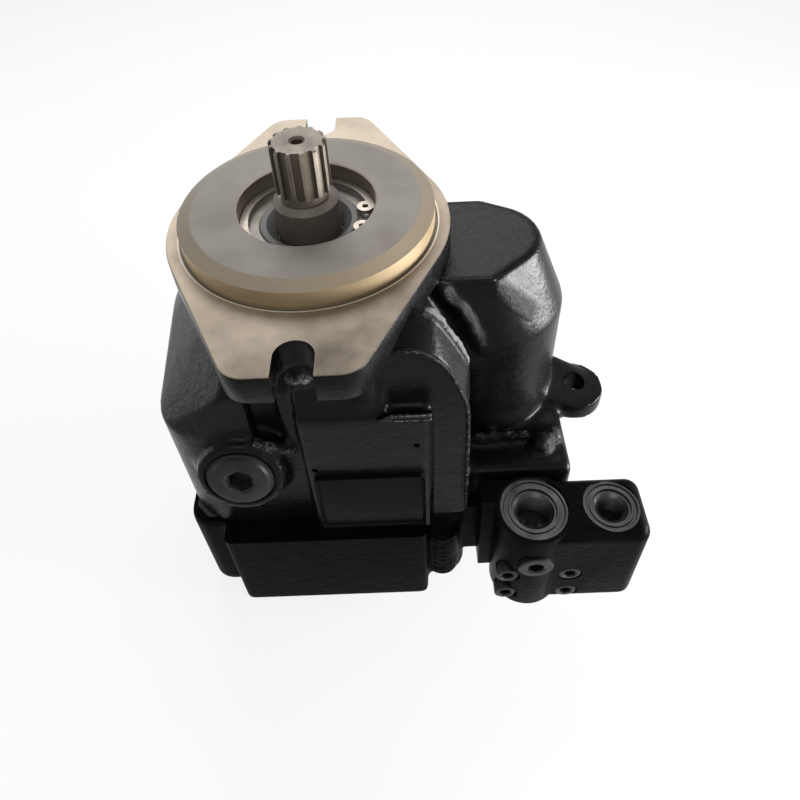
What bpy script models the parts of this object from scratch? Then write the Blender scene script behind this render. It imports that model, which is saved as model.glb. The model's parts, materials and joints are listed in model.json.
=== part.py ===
"""Axial piston pump: flange-mounted, swash-plate type, with a side servo and a bolted control block.

Metres, +Z up. The origin is on the rear face of the end cap, on the shaft's axis. The shaft points up, the
mounting slots lie along Y and the servo and the control block are on the +X side.
"""

import math

import bmesh
import bpy
from mathutils import Vector

MM = 0.001

# Clearances
GAP = 0.3 * MM              # between pieces that touch on the real pump
BALL_GAP = 0.6 * MM         # between the faceted piston ball and its socket
SLIDE_GAP = 1.6 * MM        # room for a slipper to shift in its retainer as the swash plate tilts
THREAD_ROOM = 1 * MM        # left past a screw's tip
OVERRUN = 5 * MM            # how far a cutter runs past a face
EDGE_BREAK = 1 * MM         # chamfer on a turned edge
HEX_SHARE = 0.55            # of a screw head's radius and height, for its hex socket

# Mounting flange, two-bolt pattern with a 101.6 mm pilot
PILOT_R = 50.8 * MM
PILOT_HEIGHT = 9.7 * MM
PILOT_CHAMFER = 5.2 * MM
PILOT_CHAMFER_DROP = 2.1 * MM
FLANGE_HALF_LENGTH = 82 * MM
FLANGE_SIDE_R = 57 * MM
FLANGE_END_HALF = 26 * MM
FLANGE_CORNER_R = 10.5 * MM
FLANGE_THICKNESS = 12.7 * MM
SLOT_HALF_SPACING = 73 * MM
SLOT_R = 7.15 * MM

# Drive shaft and its splines
SHAFT_R = 12.5 * MM
SHAFT_REACH = 37 * MM       # from the flange face to the shaft's end
SPLINE_TEETH = 13
SPLINE_TIP_R = 10.9 * MM
SPLINE_ROOT_R = 9.3 * MM
SPLINE_LENGTH = 21 * MM
SEAL_JOURNAL_STEP = 0.5 * MM
SEAL_JOURNAL_R = SHAFT_R + SEAL_JOURNAL_STEP
REAR_JOURNAL_R = 10 * MM
SPLINE_RUNOUT = 3 * MM      # from the end of the splines to the seal journal's taper
JOURNAL_TAPER = 2 * MM
SHAFT_CHAMFER = 0.6 * MM
SPLINE_STEP = 0.2 * MM      # from a spline's root to the plain shaft under it
COLLAR_STEP = 3 * MM
COLLAR_R = SHAFT_R + COLLAR_STEP
COLLAR_WIDTH = 6 * MM
BLOCK_SPLINE_STEP = 0.2 * MM
BLOCK_SPLINE_TOOTH = 1.2 * MM
BLOCK_SPLINE_TIP_R = SHAFT_R - BLOCK_SPLINE_STEP
BLOCK_SPLINE_ROOT_R = BLOCK_SPLINE_TIP_R - BLOCK_SPLINE_TOOTH
BLOCK_SPLINE_LENGTH = 24 * MM
CENTRE_DRILL_R = 2.2 * MM
CENTRE_DRILL_MOUTH_R = 2.6 * MM
CENTRE_DRILL_DEPTH = 7 * MM

# Rotating group
PISTON_COUNT = 9
PITCH_R = 31 * MM
PISTON_R = 8.5 * MM
BALL_R = 5.2 * MM
NECK_R = 3.6 * MM
NECK_LENGTH = 12 * MM
NECK_TAPER = 2 * MM
PISTON_LENGTH = 43 * MM
BLOCK_RIM = 5.5 * MM        # outside the bores
BLOCK_R = PITCH_R + PISTON_R + BLOCK_RIM
BLOCK_LENGTH = 43 * MM
BLOCK_FLOOR = 5 * MM        # thickness under each bore
BLOCK_PORT_R = 5 * MM
SPRING_POCKET = 4.7 * MM    # round the shaft, for the block's spring
BLOCK_WIRE_R = 1.1 * MM
BLOCK_SPRING_TURNS = 4
SLIPPER_FOOT_R = 10.2 * MM
SLIPPER_SKIRT_R = 7 * MM
SLIPPER_SKIRT_DROP = 3 * MM
SLIPPER_HEIGHT = 7.7 * MM   # from the ball's centre to the running face
SLIPPER_FOOT = 3 * MM
SLIPPER_ROOM = 3.5 * MM     # between a skirt at full stroke and the cylinder block
RETAINER_THICKNESS = 3 * MM
RETAINER_RIM = 2.5 * MM
GUIDE_R = 19 * MM
GUIDE_RISE = 6 * MM
GUIDE_WALL = 2.5 * MM       # of the sleeve under the ball zone, down to the cylinder block
GUIDE_SLEEVE_R = SHAFT_R + GUIDE_WALL
TILT_MAX = math.radians(17)

# Swash plate, its cradle and its arm
SWASH_RIM = 1.8 * MM        # outside the slippers
SHAFT_SWING = 7.5 * MM      # round the shaft, for the tilt
SWASH_R = PITCH_R + SLIPPER_FOOT_R + SWASH_RIM
SWASH_HOLE_R = SHAFT_R + SHAFT_SWING
SWASH_THICKNESS = 8 * MM
CRADLE_R = 38 * MM
RAIL_INNER_Y = 26 * MM
RAIL_WIDTH = 11 * MM
SHELL_THICKNESS = 1.5 * MM
SHELL_RUN = 0.7 * MM        # running clearance round the faceted rails
SHELL_ANGLE = math.radians(42)
SERVO_X = 74 * MM           # from the shaft to the servo's axis
ARM_HALF_WIDTH = 7 * MM
ARM_TIP_R = 8 * MM
ARM_ROOT = 6 * MM           # how far the arm runs into the swash plate
ARM_LOW = 2 * MM            # over the ball plane
ARM_SINK = 3 * MM           # under the swash plate's back
ARM_CLEARANCE = 5 * MM      # round the slippers
ARM_STEP = 5 * MM           # from the bias bore to where the arm narrows
FINGER_ROOT = 4 * MM
FINGER_STEP = 1 * MM        # narrower than the arm, each side
FINGER_HALF_WIDTH = ARM_HALF_WIDTH - FINGER_STEP
FINGER_Z = (-5 * MM, 4.5 * MM)
RAIL_ROOT = 2 * MM

# Servo and bias pistons
SERVO_R = 12.5 * MM
SERVO_LENGTH = 27.5 * MM
SERVO_WALL = 5 * MM
SERVO_HOLLOW = 12 * MM
BIAS_R = 11.5 * MM
BIAS_HEIGHT = 10 * MM
BIAS_POST_R = 4.8 * MM
BIAS_POST = 4 * MM
BIAS_WIRE_R = 1.6 * MM
BIAS_SPRING_LENGTH = 25 * MM
BIAS_TURNS = 5

# Bearings, seal and snap ring
BEARING_HEIGHT = 14 * MM
BEARING_WEB = 1 * MM        # metal left over the top of the cradle seats
INNER_RING = 4 * MM
ROLLER_R = 2.2 * MM
OUTER_RING = 4.2 * MM
ROLLER_COUNT = 12
CAGE_HALF = 1.1 * MM
CAGE_INSET = 1 * MM
REAR_BEARING_HEIGHT = 13 * MM
REAR_BEARING_SINK = 4 * MM
SEAL_SHOULDER = 6.5 * MM    # from the bearing's top to the flange face
SEAL_BORE_STEP = 1.5 * MM   # wider than the bearing
SEAL_HEIGHT = 7 * MM
SEAL_LIP = 2 * MM
SEAL_DISH = 5 * MM
RING_HEIGHT = 1.5 * MM
RING_WIDTH = 3 * MM
RING_HALF_OPENING = math.radians(11)
RING_TURN = math.radians(-5)
LUG_R = 3.4 * MM
LUG_HOLE_R = 1.3 * MM
LUG_INSET = 4 * MM
LUG_TURN = math.radians(5)  # from the ring's end
LUG_ANGLE = RING_HALF_OPENING + LUG_TURN

# Housing
CAVITY_ROOM = 7 * MM        # round the cylinder block
CAVITY_R = BLOCK_R + CAVITY_ROOM
CAVITY_HEADROOM = 30 * MM   # over the ball plane
COLLAR_ROOM = 2 * MM
SHAFT_HOLE_R = COLLAR_R + COLLAR_ROOM
WINDOW_OVERLAP = 14 * MM    # of the arm's window and the cavity
WINDOW_X = CAVITY_R - WINDOW_OVERLAP
WINDOW_SIDE = 3 * MM
WINDOW_END = 4 * MM
WINDOW_BELOW = 36 * MM
WINDOW_ABOVE = 19 * MM
LEFT_X = 68 * MM
RIGHT_X = 62 * MM
HALF_DEPTH = 62 * MM
SHOULDER_X = 47 * MM
SHOULDER_DROP = 18 * MM
SHOULDER_FALL = 38 * MM
CAST_EDGE = 9 * MM
HOUSING_NECK_STEP = 2 * MM
HOUSING_NECK_R = SHOULDER_X + HOUSING_NECK_STEP
HOUSING_NECK_ROOT = 12 * MM
PAD_X = (-6.5 * MM, 45 * MM)
PAD_RISE = 6 * MM
PAD_Y = HALF_DEPTH + PAD_RISE
PAD_TOP_DROP = 42 * MM
PAD_EDGE = 2 * MM
PLATE_X = (-3.5 * MM, 42.5 * MM)
PLATE_TOP_DROP = 80 * MM
PLATE_HEIGHT = 40 * MM
PLATE_THICKNESS = 0.8 * MM
BULGE_R = 32 * MM
BULGE_TOP_R = 24 * MM
BULGE_Y = 2 * MM
BULGE_TOP_DROP = 12 * MM
BULGE_SLOPE = 26 * MM
BRIDGE_INSET = 1.5 * MM
BRIDGE_HALF = BULGE_TOP_R - BRIDGE_INSET
BRIDGE_STEP = 0.4 * MM
BRIDGE_EDGE = 2 * MM
FOOT_HEIGHT = 19.4 * MM
FOOT_REACH = 36 * MM        # past the servo's axis
FOOT_X = SERVO_X + FOOT_REACH
FOOT_EDGE = 4 * MM
FOOT_SET_BACK = 8 * MM      # from the front face
FOOT_Y = (-(HALF_DEPTH - FOOT_SET_BACK), 40 * MM)
EAR_REACH = 45 * MM         # past the servo's axis
EAR_CENTRE = (SERVO_X + EAR_REACH, -6 * MM)
EAR_R = 14.5 * MM
EAR_HOLE_R = 5.5 * MM
EAR_THICKNESS = 10 * MM
EAR_RISE = 1 * MM           # over the foot
EAR_WEB_STEP = 1 * MM
DRAIN_RISE = 8 * MM         # in front of the body
DRAIN_CENTRE = (-33 * MM, -(HALF_DEPTH + DRAIN_RISE))
DRAIN_DROP = 77 * MM
DRAIN_R = 18 * MM
DRAIN_TILT = math.radians(12)
DRAIN_THREAD_R = 10 * MM
DRAIN_PLUG_R = 13.5 * MM
DRAIN_DEPTH = 12 * MM
DRAIN_FACE_ROOM = 1 * MM
DRAIN_FACE_R = DRAIN_PLUG_R + DRAIN_FACE_ROOM
DRAIN_SINK = 1 * MM
DRAIN_HEAD = 2 * MM
DRAIN_HEX_R = 5.8 * MM
DRAIN_HEX_DEPTH = 7 * MM
DRAIN_ROOT = 20 * MM        # how far the boss runs back into the casting

# End cap
END_CAP_HEIGHT = 64.4 * MM
GASKET_THICKNESS = 0.6 * MM
GASKET_INSET = 3 * MM
GASKET_FOOT_INSET = 6 * MM
SHEET_CLEARANCE = 1 * MM    # round each hole in a gasket
VALVE_PLATE_THICKNESS = 4 * MM
VALVE_PLATE_INSET = 3 * MM  # inside the cylinder block's rim
VALVE_PLATE_ROOM = 2 * MM   # round the shaft
VALVE_PLATE_R = BLOCK_R - VALVE_PLATE_INSET
VALVE_PLATE_HOLE_R = SHAFT_R + VALVE_PLATE_ROOM
KIDNEY_HALF = 4.5 * MM
KIDNEY_END = math.radians(22)
KIDNEY_OVERLAP = 3.6 * MM   # how far a kidney runs into its port
CAP_FRONT_X = (-50 * MM, 43 * MM)
CAP_FRONT_RISE = 11 * MM
CAP_FRONT_Y = HALF_DEPTH + CAP_FRONT_RISE
CAP_FRONT_Z = 4 * MM
CAP_FRONT_EDGE = 3 * MM
PORT_Y = 33 * MM
SUCTION_R = 20.6 * MM
PRESSURE_R = 13.5 * MM
PORT_DEPTH = 40 * MM
KIDNEY_DEPTH = END_CAP_HEIGHT - PORT_DEPTH + KIDNEY_OVERLAP
CAP_SCREW_INSET = (14 * MM, 13 * MM)
CAP_SCREW_X = (-(LEFT_X - CAP_SCREW_INSET[0]), RIGHT_X - CAP_SCREW_INSET[1])
CAP_SCREW_Y = HALF_DEPTH - CAP_SCREW_INSET[1]
CAP_SCREW_R = 6 * MM
CAP_HEAD_R = 9 * MM
CAP_HEAD_HEIGHT = 12 * MM
CAP_SCREW_BITE = 32 * MM
CAP_HEAD_SINK = 2 * MM      # from the rear face to a screw head's face
CAP_FOOT_Z = 22 * MM
CONTROL_PAD_INSET = 3 * MM
CONTROL_PAD_Y = HALF_DEPTH - CONTROL_PAD_INSET

# Control block
CONTROL_TOP_DROP = 100 * MM
CONTROL_HEIGHT = 58 * MM
CONTROL_OFFSET = 14.4 * MM  # from the servo's axis
CONTROL_WIDTH = 47.6 * MM
CONTROL_DEPTH = 30.5 * MM
CONTROL_X = (SERVO_X + CONTROL_OFFSET, SERVO_X + CONTROL_OFFSET + CONTROL_WIDTH)
CONTROL_FRONT_Y = CONTROL_PAD_Y + CONTROL_DEPTH
CONTROL_EDGE = 6 * MM
SHOE_DROP = 8 * MM
HEEL_DROP = 4 * MM
LOBE_R = 16.2 * MM
SPOOL_INSET = 14.7 * MM
SPOOL_SET_BACK = 16 * MM    # in front of the control's pad
SPOOL_X = (CONTROL_X[0], CONTROL_X[1] - SPOOL_INSET)
SPOOL_Y = -(CONTROL_PAD_Y + SPOOL_SET_BACK)
SPOOL_R = 4.7 * MM
SPOOL_LENGTH = 17 * MM
SPOOL_BUTTON_R = 6 * MM
SPOOL_BUTTON = 3 * MM
CHAMBER_R = 7 * MM
CHAMBER_DEPTH = 20 * MM
CONTROL_SPRING_WIRE_R = 0.6 * MM
CONTROL_SPRING_R = 4.6 * MM
CONTROL_SPRING_TURNS = 5
ADJUSTER_INSET = 5 * MM
ADJUSTER_HEX_R = 9 * MM
ADJUSTER_HEX = 8 * MM
ADJUSTER_STEM_R = 4 * MM
ADJUSTER_STEM = 7 * MM
PORT_R = (7.1 * MM, 5.6 * MM)
PORT_SPOTFACE_R = (13 * MM, 10.3 * MM)
PORT_SPOTFACE = 1 * MM
CONTROL_PORT_DEPTH = 14 * MM
PASSAGE_R = 3 * MM
CONTROL_SCREW_REACH = (3.5 * MM, 31 * MM)
CONTROL_SCREW_DROP = (24.4 * MM, 7.4 * MM)
CONTROL_SCREW_X = tuple(SERVO_X + reach for reach in CONTROL_SCREW_REACH)
CONTROL_SCREW_Z = tuple(END_CAP_HEIGHT - drop for drop in CONTROL_SCREW_DROP)
CONTROL_SCREW_R = 3 * MM
CONTROL_HEAD_R = 5 * MM
CONTROL_HEAD_HEIGHT = 6 * MM
CONTROL_SCREW_BITE = 14 * MM
CONTROL_HEAD_SINK = 6.5 * MM
CONTROL_HEAD_Y = CONTROL_FRONT_Y - CONTROL_HEAD_SINK
CONTROL_PAD_REACH = (-1 * MM, 35 * MM)
CONTROL_PAD_DROP = (30.4 * MM, 2.4 * MM)
CONTROL_PAD_X = tuple(SERVO_X + reach for reach in CONTROL_PAD_REACH)
CONTROL_PAD_Z = tuple(END_CAP_HEIGHT - drop for drop in CONTROL_PAD_DROP)
PLUG_R = 7.5 * MM
PLUG_THREAD_R = 5.5 * MM
PLUG_DEPTH = 7 * MM
PLUG_RISE = 5.1 * MM        # over the end cap's top
PLUG_Z = END_CAP_HEIGHT + PLUG_RISE
PLUG_SINK = 1.5 * MM
PLUG_HEAD = 1 * MM
PLUG_HEX_R = PLUG_R / 2
PLUG_HEX_DEPTH = 4 * MM

# Levels along the shaft, stacked from the rear face
JOINT_Z = END_CAP_HEIGHT + 2 * GAP + GASKET_THICKNESS
BLOCK_Z = END_CAP_HEIGHT + VALVE_PLATE_THICKNESS + 2 * GAP
BLOCK_TOP_Z = BLOCK_Z + BLOCK_LENGTH
HALF_STROKE = PITCH_R * math.tan(TILT_MAX)
BALL_Z = BLOCK_TOP_Z + HALF_STROKE + SLIPPER_SKIRT_DROP + SLIPPER_ROOM
SHELL_R = CRADLE_R + SHELL_RUN
SEAT_R = SHELL_R + SHELL_THICKNESS + GAP
BEARING_Z = BALL_Z + SEAT_R + BEARING_WEB
BEARING_TOP_Z = BEARING_Z + BEARING_HEIGHT
FLANGE_Z = BEARING_TOP_Z + SEAL_SHOULDER
SHAFT_END_Z = FLANGE_Z + SHAFT_REACH
CAVITY_TOP_Z = BALL_Z + CAVITY_HEADROOM
BIAS_ROOF_Z = BALL_Z + ARM_TIP_R + 3 * GAP + BIAS_HEIGHT + BIAS_SPRING_LENGTH
CONTROL_TOP_Z = FLANGE_Z - CONTROL_TOP_DROP
CONTROL_Z = CONTROL_TOP_Z - CONTROL_HEIGHT
REAR_BEARING_Z = END_CAP_HEIGHT - GAP - REAR_BEARING_HEIGHT - REAR_BEARING_SINK
CAP_SEAT_Z = CAP_HEAD_HEIGHT + CAP_HEAD_SINK
BEARING_R = SHAFT_R + GAP + INNER_RING + 2 * (ROLLER_R + GAP) + OUTER_RING
SEAL_BORE_R = BEARING_R + SEAL_BORE_STEP
REAR_BEARING_R = REAR_JOURNAL_R + GAP + INNER_RING + 2 * (ROLLER_R + GAP) + OUTER_RING
SWASH_FACE = SLIPPER_HEIGHT + GAP
SPRING_POCKET_R = SHAFT_R + SPRING_POCKET

# Facets
ROUND = 24
FINE = 40
SMALL = 12
TURN = 2 * math.pi
ALONG_Y = (math.pi / 2, 0, 0)   # turns local Z to -Y

# For long chains of cuts and flush faces, where the exact solver leaves edges of no length
ROBUST = "MANIFOLD"

COLOURS = {
    "black_paint": ((0.012, 0.012, 0.013), 0.35, 0.0),
    "steel": ((0.42, 0.38, 0.32), 0.35, 1.0),
    "bronze": ((0.55, 0.36, 0.14), 0.4, 1.0),
    "spring_steel": ((0.25, 0.25, 0.26), 0.4, 1.0),
    "seal_rubber": ((0.02, 0.02, 0.02), 0.7, 0.0),
    "gasket_paper": ((0.10, 0.16, 0.12), 0.8, 0.0),
    "plate_black": ((0.008, 0.008, 0.008), 0.25, 0.0),
}


def clear_scene():
    for obj in list(bpy.data.objects):
        bpy.data.objects.remove(obj, do_unlink=True)


def collection(name):
    made = bpy.data.collections.new(name)
    bpy.context.scene.collection.children.link(made)
    return made


def materials():
    made = {}
    for name, (colour, roughness, metallic) in COLOURS.items():
        material = bpy.data.materials.new(name)
        material.use_nodes = True
        shader = material.node_tree.nodes["Principled BSDF"]
        shader.inputs["Base Color"].default_value = (*colour, 1.0)
        shader.inputs["Roughness"].default_value = roughness
        shader.inputs["Metallic"].default_value = metallic
        made[name] = material
    return made


clear_scene()
PARTS = collection("axial_piston_pump")
HELPERS = collection("helpers")
MATERIALS = materials()


def place(name, mesh, location=(0, 0, 0), rotation=(0, 0, 0)):
    """A new helper object, which the final shapes are made from."""
    obj = bpy.data.objects.new(name, mesh)
    obj.location = location
    obj.rotation_euler = rotation
    obj.hide_render = True
    obj.display_type = "WIRE"
    HELPERS.objects.link(obj)
    return obj


def as_part(obj, name, material, parent=None):
    """Moves a finished shape to the pump's own collection under its own name."""
    HELPERS.objects.unlink(obj)
    PARTS.objects.link(obj)
    obj.name = name
    obj.hide_render = False
    obj.display_type = "TEXTURED"
    obj.data.materials.clear()
    obj.data.materials.append(MATERIALS[material])
    if parent:
        obj.parent = parent
    return obj


def empty(name, location):
    obj = bpy.data.objects.new(name, None)
    obj.location = location
    PARTS.objects.link(obj)
    return obj


def turned(name, profile, segments=ROUND, location=(0, 0, 0), rotation=(0, 0, 0)):
    """A profile of (radius, height) points, down its outer side, turned about local Z."""
    mesh = bpy.data.meshes.new(name)
    ends = len(profile) - 1
    edges = [(i, i + 1) for i in range(ends)]
    if profile[0][0] > 0:
        edges.append((ends, 0))
    mesh.from_pydata([(r, 0, z) for r, z in profile], edges, [])
    obj = place(name, mesh, location, rotation)
    screw = obj.modifiers.new("turn", "SCREW")
    screw.steps = segments
    screw.render_steps = segments
    screw.use_merge_vertices = True
    screw.merge_threshold = 0.00001
    return obj


def rod(name, radius, low, high, segments=ROUND, location=(0, 0, 0), rotation=(0, 0, 0)):
    """A plain cylinder along local Z, from low to high."""
    profile = [(0, high), (radius, high), (radius, low), (0, low)]
    return turned(name, profile, segments, location, rotation)


def ring(name, inner, outer, low, high, segments=ROUND, location=(0, 0, 0)):
    profile = [(outer, high), (outer, low), (inner, low), (inner, high)]
    return turned(name, profile, segments, location)


def block(name, low, high, edge=0.0, location=(0, 0, 0)):
    """A box between two corners, with its edges rounded."""
    mesh = bpy.data.meshes.new(name)
    bm = bmesh.new()
    bmesh.ops.create_cube(bm, size=1.0)
    low, high = Vector(low), Vector(high)
    for vertex in bm.verts:
        for i in range(3):
            vertex.co[i] = high[i] if vertex.co[i] > 0 else low[i]
    bm.to_mesh(mesh)
    bm.free()
    obj = place(name, mesh, location)
    if edge:
        rounded(obj, edge)
    return obj


def rounded(obj, width, segments=2):
    bevel = obj.modifiers.new("edges", "BEVEL")
    bevel.width = width
    bevel.segments = segments
    bevel.limit_method = "ANGLE"


def plate(name, outlines, low, high, location=(0, 0, 0), rotation=(0, 0, 0)):
    """A flat outline, with any holes, extruded along local Z from low to high and made a mesh.

    The curve is drawn in millimetres, because a filled outline loses points that are very close.
    """
    curve = bpy.data.curves.new(name, "CURVE")
    curve.dimensions = "2D"
    curve.fill_mode = "BOTH"
    curve.extrude = (high - low) / 2 / MM
    for outline in outlines:
        spline = curve.splines.new("POLY")
        spline.points.add(len(outline) - 1)
        for point, (x, y) in zip(spline.points, outline):
            point.co = (x / MM, y / MM, 0, 1)
        spline.use_cyclic_u = True
    guide = bpy.data.objects.new(name + "_curve", curve)
    HELPERS.objects.link(guide)
    graph = bpy.context.evaluated_depsgraph_get()
    mesh = bpy.data.meshes.new_from_object(guide.evaluated_get(graph))
    bpy.data.objects.remove(guide, do_unlink=True)
    bm = bmesh.new()
    bm.from_mesh(mesh)
    bmesh.ops.remove_doubles(bm, verts=bm.verts, dist=0.001)
    bmesh.ops.scale(bm, verts=bm.verts, vec=(MM, MM, MM))
    bmesh.ops.translate(bm, verts=bm.verts, vec=(0, 0, (high + low) / 2))
    bmesh.ops.recalc_face_normals(bm, faces=bm.faces)
    bm.to_mesh(mesh)
    bm.free()
    return place(name, mesh, location, rotation)


def combine(obj, other, operation, solver):
    boolean = obj.modifiers.new(f"{operation.lower()}_{other.name}", "BOOLEAN")
    boolean.operation = operation
    boolean.solver = solver
    boolean.object = other


def cut(obj, *others, solver="EXACT"):
    for other in others:
        combine(obj, other, "DIFFERENCE", solver)
    return obj


def join(obj, *others, solver="EXACT"):
    for other in others:
        combine(obj, other, "UNION", solver)
    return obj


def arc(radius, start, end, count, centre=(0, 0)):
    """Points along an arc, both ends included."""
    points = []
    for i in range(count + 1):
        angle = start + (end - start) * i / count
        points.append((centre[0] + radius * math.cos(angle), centre[1] + radius * math.sin(angle)))
    return points


def circle(radius, count, centre=(0, 0)):
    return arc(radius, 0, TURN * (count - 1) / count, count - 1, centre)


def kidney(radius, half_width, start, end):
    """A round-ended slot bent along an arc."""
    tip = (radius * math.cos(end), radius * math.sin(end))
    tail = (radius * math.cos(start), radius * math.sin(start))
    return (
        arc(radius + half_width, start, end, 10)
        + arc(half_width, end, end + math.pi, 6, tip)[1:-1]
        + arc(radius - half_width, end, start, 10)
        + arc(half_width, start + math.pi, start + TURN, 6, tail)[1:-1]
    )


def spline_outline(tip_r, root_r, spread):
    """The toothed section of the shaft. Spread widens each tooth on both flanks."""
    points = []
    pitch = TURN / SPLINE_TEETH
    for tooth in range(SPLINE_TEETH):
        middle = tooth * pitch
        for radius, share in ((root_r, -0.36), (tip_r, -0.17), (tip_r, 0.17), (root_r, 0.36)):
            angle = middle + pitch * share + math.copysign(spread / radius, share)
            points.append((radius * math.cos(angle), radius * math.sin(angle)))
    return points


def hex_socket(name, across_r, depth, location, rotation=(0, 0, 0)):
    """A six-sided cutter that opens along local +Z."""
    return rod(name, across_r, -depth, depth, 6, location, rotation)


def coil(name, coil_r, wire_r, low, high, turns, location, material, parent=None):
    """A compression spring along Z: one tube, whose least gap to itself is printed."""
    per_turn = 9
    steps = per_turn * turns
    rise = (high - low - 2 * wire_r) / steps
    points = []
    for i in range(steps + 1):
        angle = TURN * i / per_turn
        points.append(Vector((coil_r * math.cos(angle), coil_r * math.sin(angle), low + wire_r + rise * i)))
    least = min(
        (points[i] - points[j]).length
        for i in range(len(points))
        for j in range(i + per_turn // 2, len(points))
    )
    print(f"{name}: least gap between turns {1000 * (least - 2 * wire_r):.2f} mm")
    curve = bpy.data.curves.new(name, "CURVE")
    curve.dimensions = "3D"
    curve.bevel_depth = wire_r
    curve.bevel_resolution = 1
    curve.use_fill_caps = True
    spline = curve.splines.new("POLY")
    spline.points.add(steps)
    for point, place_at in zip(spline.points, points):
        point.co = (*place_at, 1)
    return as_part(place(name, curve, location), name, material, parent)


def flange_outline():
    """A round middle drawn out to two blunt ends with rounded corners."""
    corner = (FLANGE_END_HALF - FLANGE_CORNER_R, FLANGE_HALF_LENGTH - FLANGE_CORNER_R)
    reach = math.hypot(*corner)
    lean = math.atan2(corner[1], corner[0])
    touch = lean - math.acos((FLANGE_SIDE_R - FLANGE_CORNER_R) / reach)
    right = arc(FLANGE_SIDE_R, -touch, touch, 8)
    top = arc(FLANGE_CORNER_R, touch, math.pi / 2, 4, corner)
    quarter_turns = right + top
    left = [(-x, y) for x, y in reversed(top)] + [(-x, -y) for x, y in right]
    bottom = [(-x, -y) for x, y in top] + [(x, -y) for x, y in reversed(top)]
    return quarter_turns + left + bottom


def bearing(prefix, inner_r, height, level, group):
    """A roller bearing: inner ring, rollers in their cage and outer ring."""
    inner_low = inner_r + GAP
    track_in = inner_low + INNER_RING
    middle = track_in + GAP + ROLLER_R
    track_out = middle + ROLLER_R + GAP
    inner = ring("inner", inner_low, track_in, 0, height, ROUND, (0, 0, level))
    as_part(inner, f"{prefix}_bearing_inner_ring", "steel", group)
    outer = ring("outer", track_out, track_out + OUTER_RING, 0, height, ROUND, (0, 0, level))
    as_part(outer, f"{prefix}_bearing_outer_ring", "steel")
    outside, inside = [], []
    reach = math.acos(CAGE_HALF / ROLLER_R)
    for i in range(ROLLER_COUNT):
        angle = TURN * i / ROLLER_COUNT
        centre = (middle * math.cos(angle), middle * math.sin(angle))
        outside += arc(ROLLER_R, angle - reach, angle + reach, 4, centre)
        inside += arc(ROLLER_R, angle + math.pi + reach, angle + math.pi - reach, 4, centre)
    rollers = plate("rollers", [outside, inside], CAGE_INSET, height - CAGE_INSET, (0, 0, level))
    as_part(rollers, f"{prefix}_bearing_rollers", "steel")


def socket_screw(name, shank_r, head_r, head_height, length, location, rotation, material):
    """A socket-head screw along local Z: head above zero, shank below."""
    profile = [
        (0, head_height),
        (head_r, head_height),
        (head_r, 0),
        (shank_r, 0),
        (shank_r, -length),
        (0, -length),
    ]
    screw = turned(name, profile, SMALL, location, rotation)
    face = Vector(location) + screw.rotation_euler.to_matrix() @ Vector((0, 0, head_height))
    recess = hex_socket(f"{name}_hex", HEX_SHARE * head_r, HEX_SHARE * head_height, face, rotation)
    cut(screw, recess)
    return as_part(screw, name, material)


def housing_body():
    """The cast body: a box with sloping shoulders, the neck, the flange and the pilot."""
    shoulder_z = FLANGE_Z - SHOULDER_DROP
    knee_z = shoulder_z - SHOULDER_FALL
    below = JOINT_Z - 2 * CAST_EDGE
    outline = [
        (-LEFT_X, below),
        (RIGHT_X, below),
        (RIGHT_X, knee_z),
        (SHOULDER_X, shoulder_z),
        (-SHOULDER_X, shoulder_z),
        (-LEFT_X, knee_z),
    ]
    body = plate("body", [outline], -HALF_DEPTH, HALF_DEPTH, rotation=ALONG_Y)
    rounded(body, CAST_EDGE)
    flange = plate("flange", [flange_outline()], FLANGE_Z - FLANGE_THICKNESS, FLANGE_Z)
    pilot_top = FLANGE_Z + PILOT_HEIGHT
    pilot = turned(
        "pilot",
        [
            (0, pilot_top),
            (PILOT_R - PILOT_CHAMFER, pilot_top),
            (PILOT_R, pilot_top - PILOT_CHAMFER_DROP),
            (PILOT_R, FLANGE_Z - FLANGE_THICKNESS / 2),
            (0, FLANGE_Z - FLANGE_THICKNESS / 2),
        ],
        FINE,
    )
    neck = rod("neck", HOUSING_NECK_R, shoulder_z - HOUSING_NECK_ROOT, FLANGE_Z - FLANGE_THICKNESS / 3)
    pad = block(
        "pad",
        (PAD_X[0], -PAD_Y, JOINT_Z - 2 * CAST_EDGE),
        (PAD_X[1], -HALF_DEPTH / 2, FLANGE_Z - PAD_TOP_DROP),
        PAD_EDGE,
    )
    return join(body, neck, flange, pilot, pad, solver=ROBUST)


def servo_bulge():
    top = FLANGE_Z - BULGE_TOP_DROP
    low = JOINT_Z - 2 * CAST_EDGE
    bulge = turned(
        "bulge",
        [
            (0, top),
            (BULGE_TOP_R, top),
            (BULGE_R, top - BULGE_SLOPE),
            (BULGE_R, low),
            (0, low),
        ],
        ROUND,
        (SERVO_X, BULGE_Y, 0),
    )
    bridge = block(
        "bridge",
        (0, BULGE_Y - BRIDGE_HALF, low),
        (SERVO_X, BULGE_Y + BRIDGE_HALF, top - BRIDGE_STEP),
        BRIDGE_EDGE,
    )
    foot = block("foot", (0, FOOT_Y[0], low), (FOOT_X, FOOT_Y[1], JOINT_Z + FOOT_HEIGHT), FOOT_EDGE)
    ear_top = JOINT_Z + FOOT_HEIGHT + EAR_RISE
    ear = rod("ear", EAR_R, ear_top - EAR_THICKNESS, ear_top, ROUND, (*EAR_CENTRE, 0))
    web_half = EAR_R - EAR_WEB_STEP
    web = block(
        "ear_web",
        (SERVO_X, EAR_CENTRE[1] - web_half, ear_top - EAR_THICKNESS + EAR_WEB_STEP / 2),
        (EAR_CENTRE[0] - EAR_WEB_STEP, EAR_CENTRE[1] + web_half, ear_top - EAR_WEB_STEP / 2),
    )
    return bulge, bridge, foot, ear, web


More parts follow.
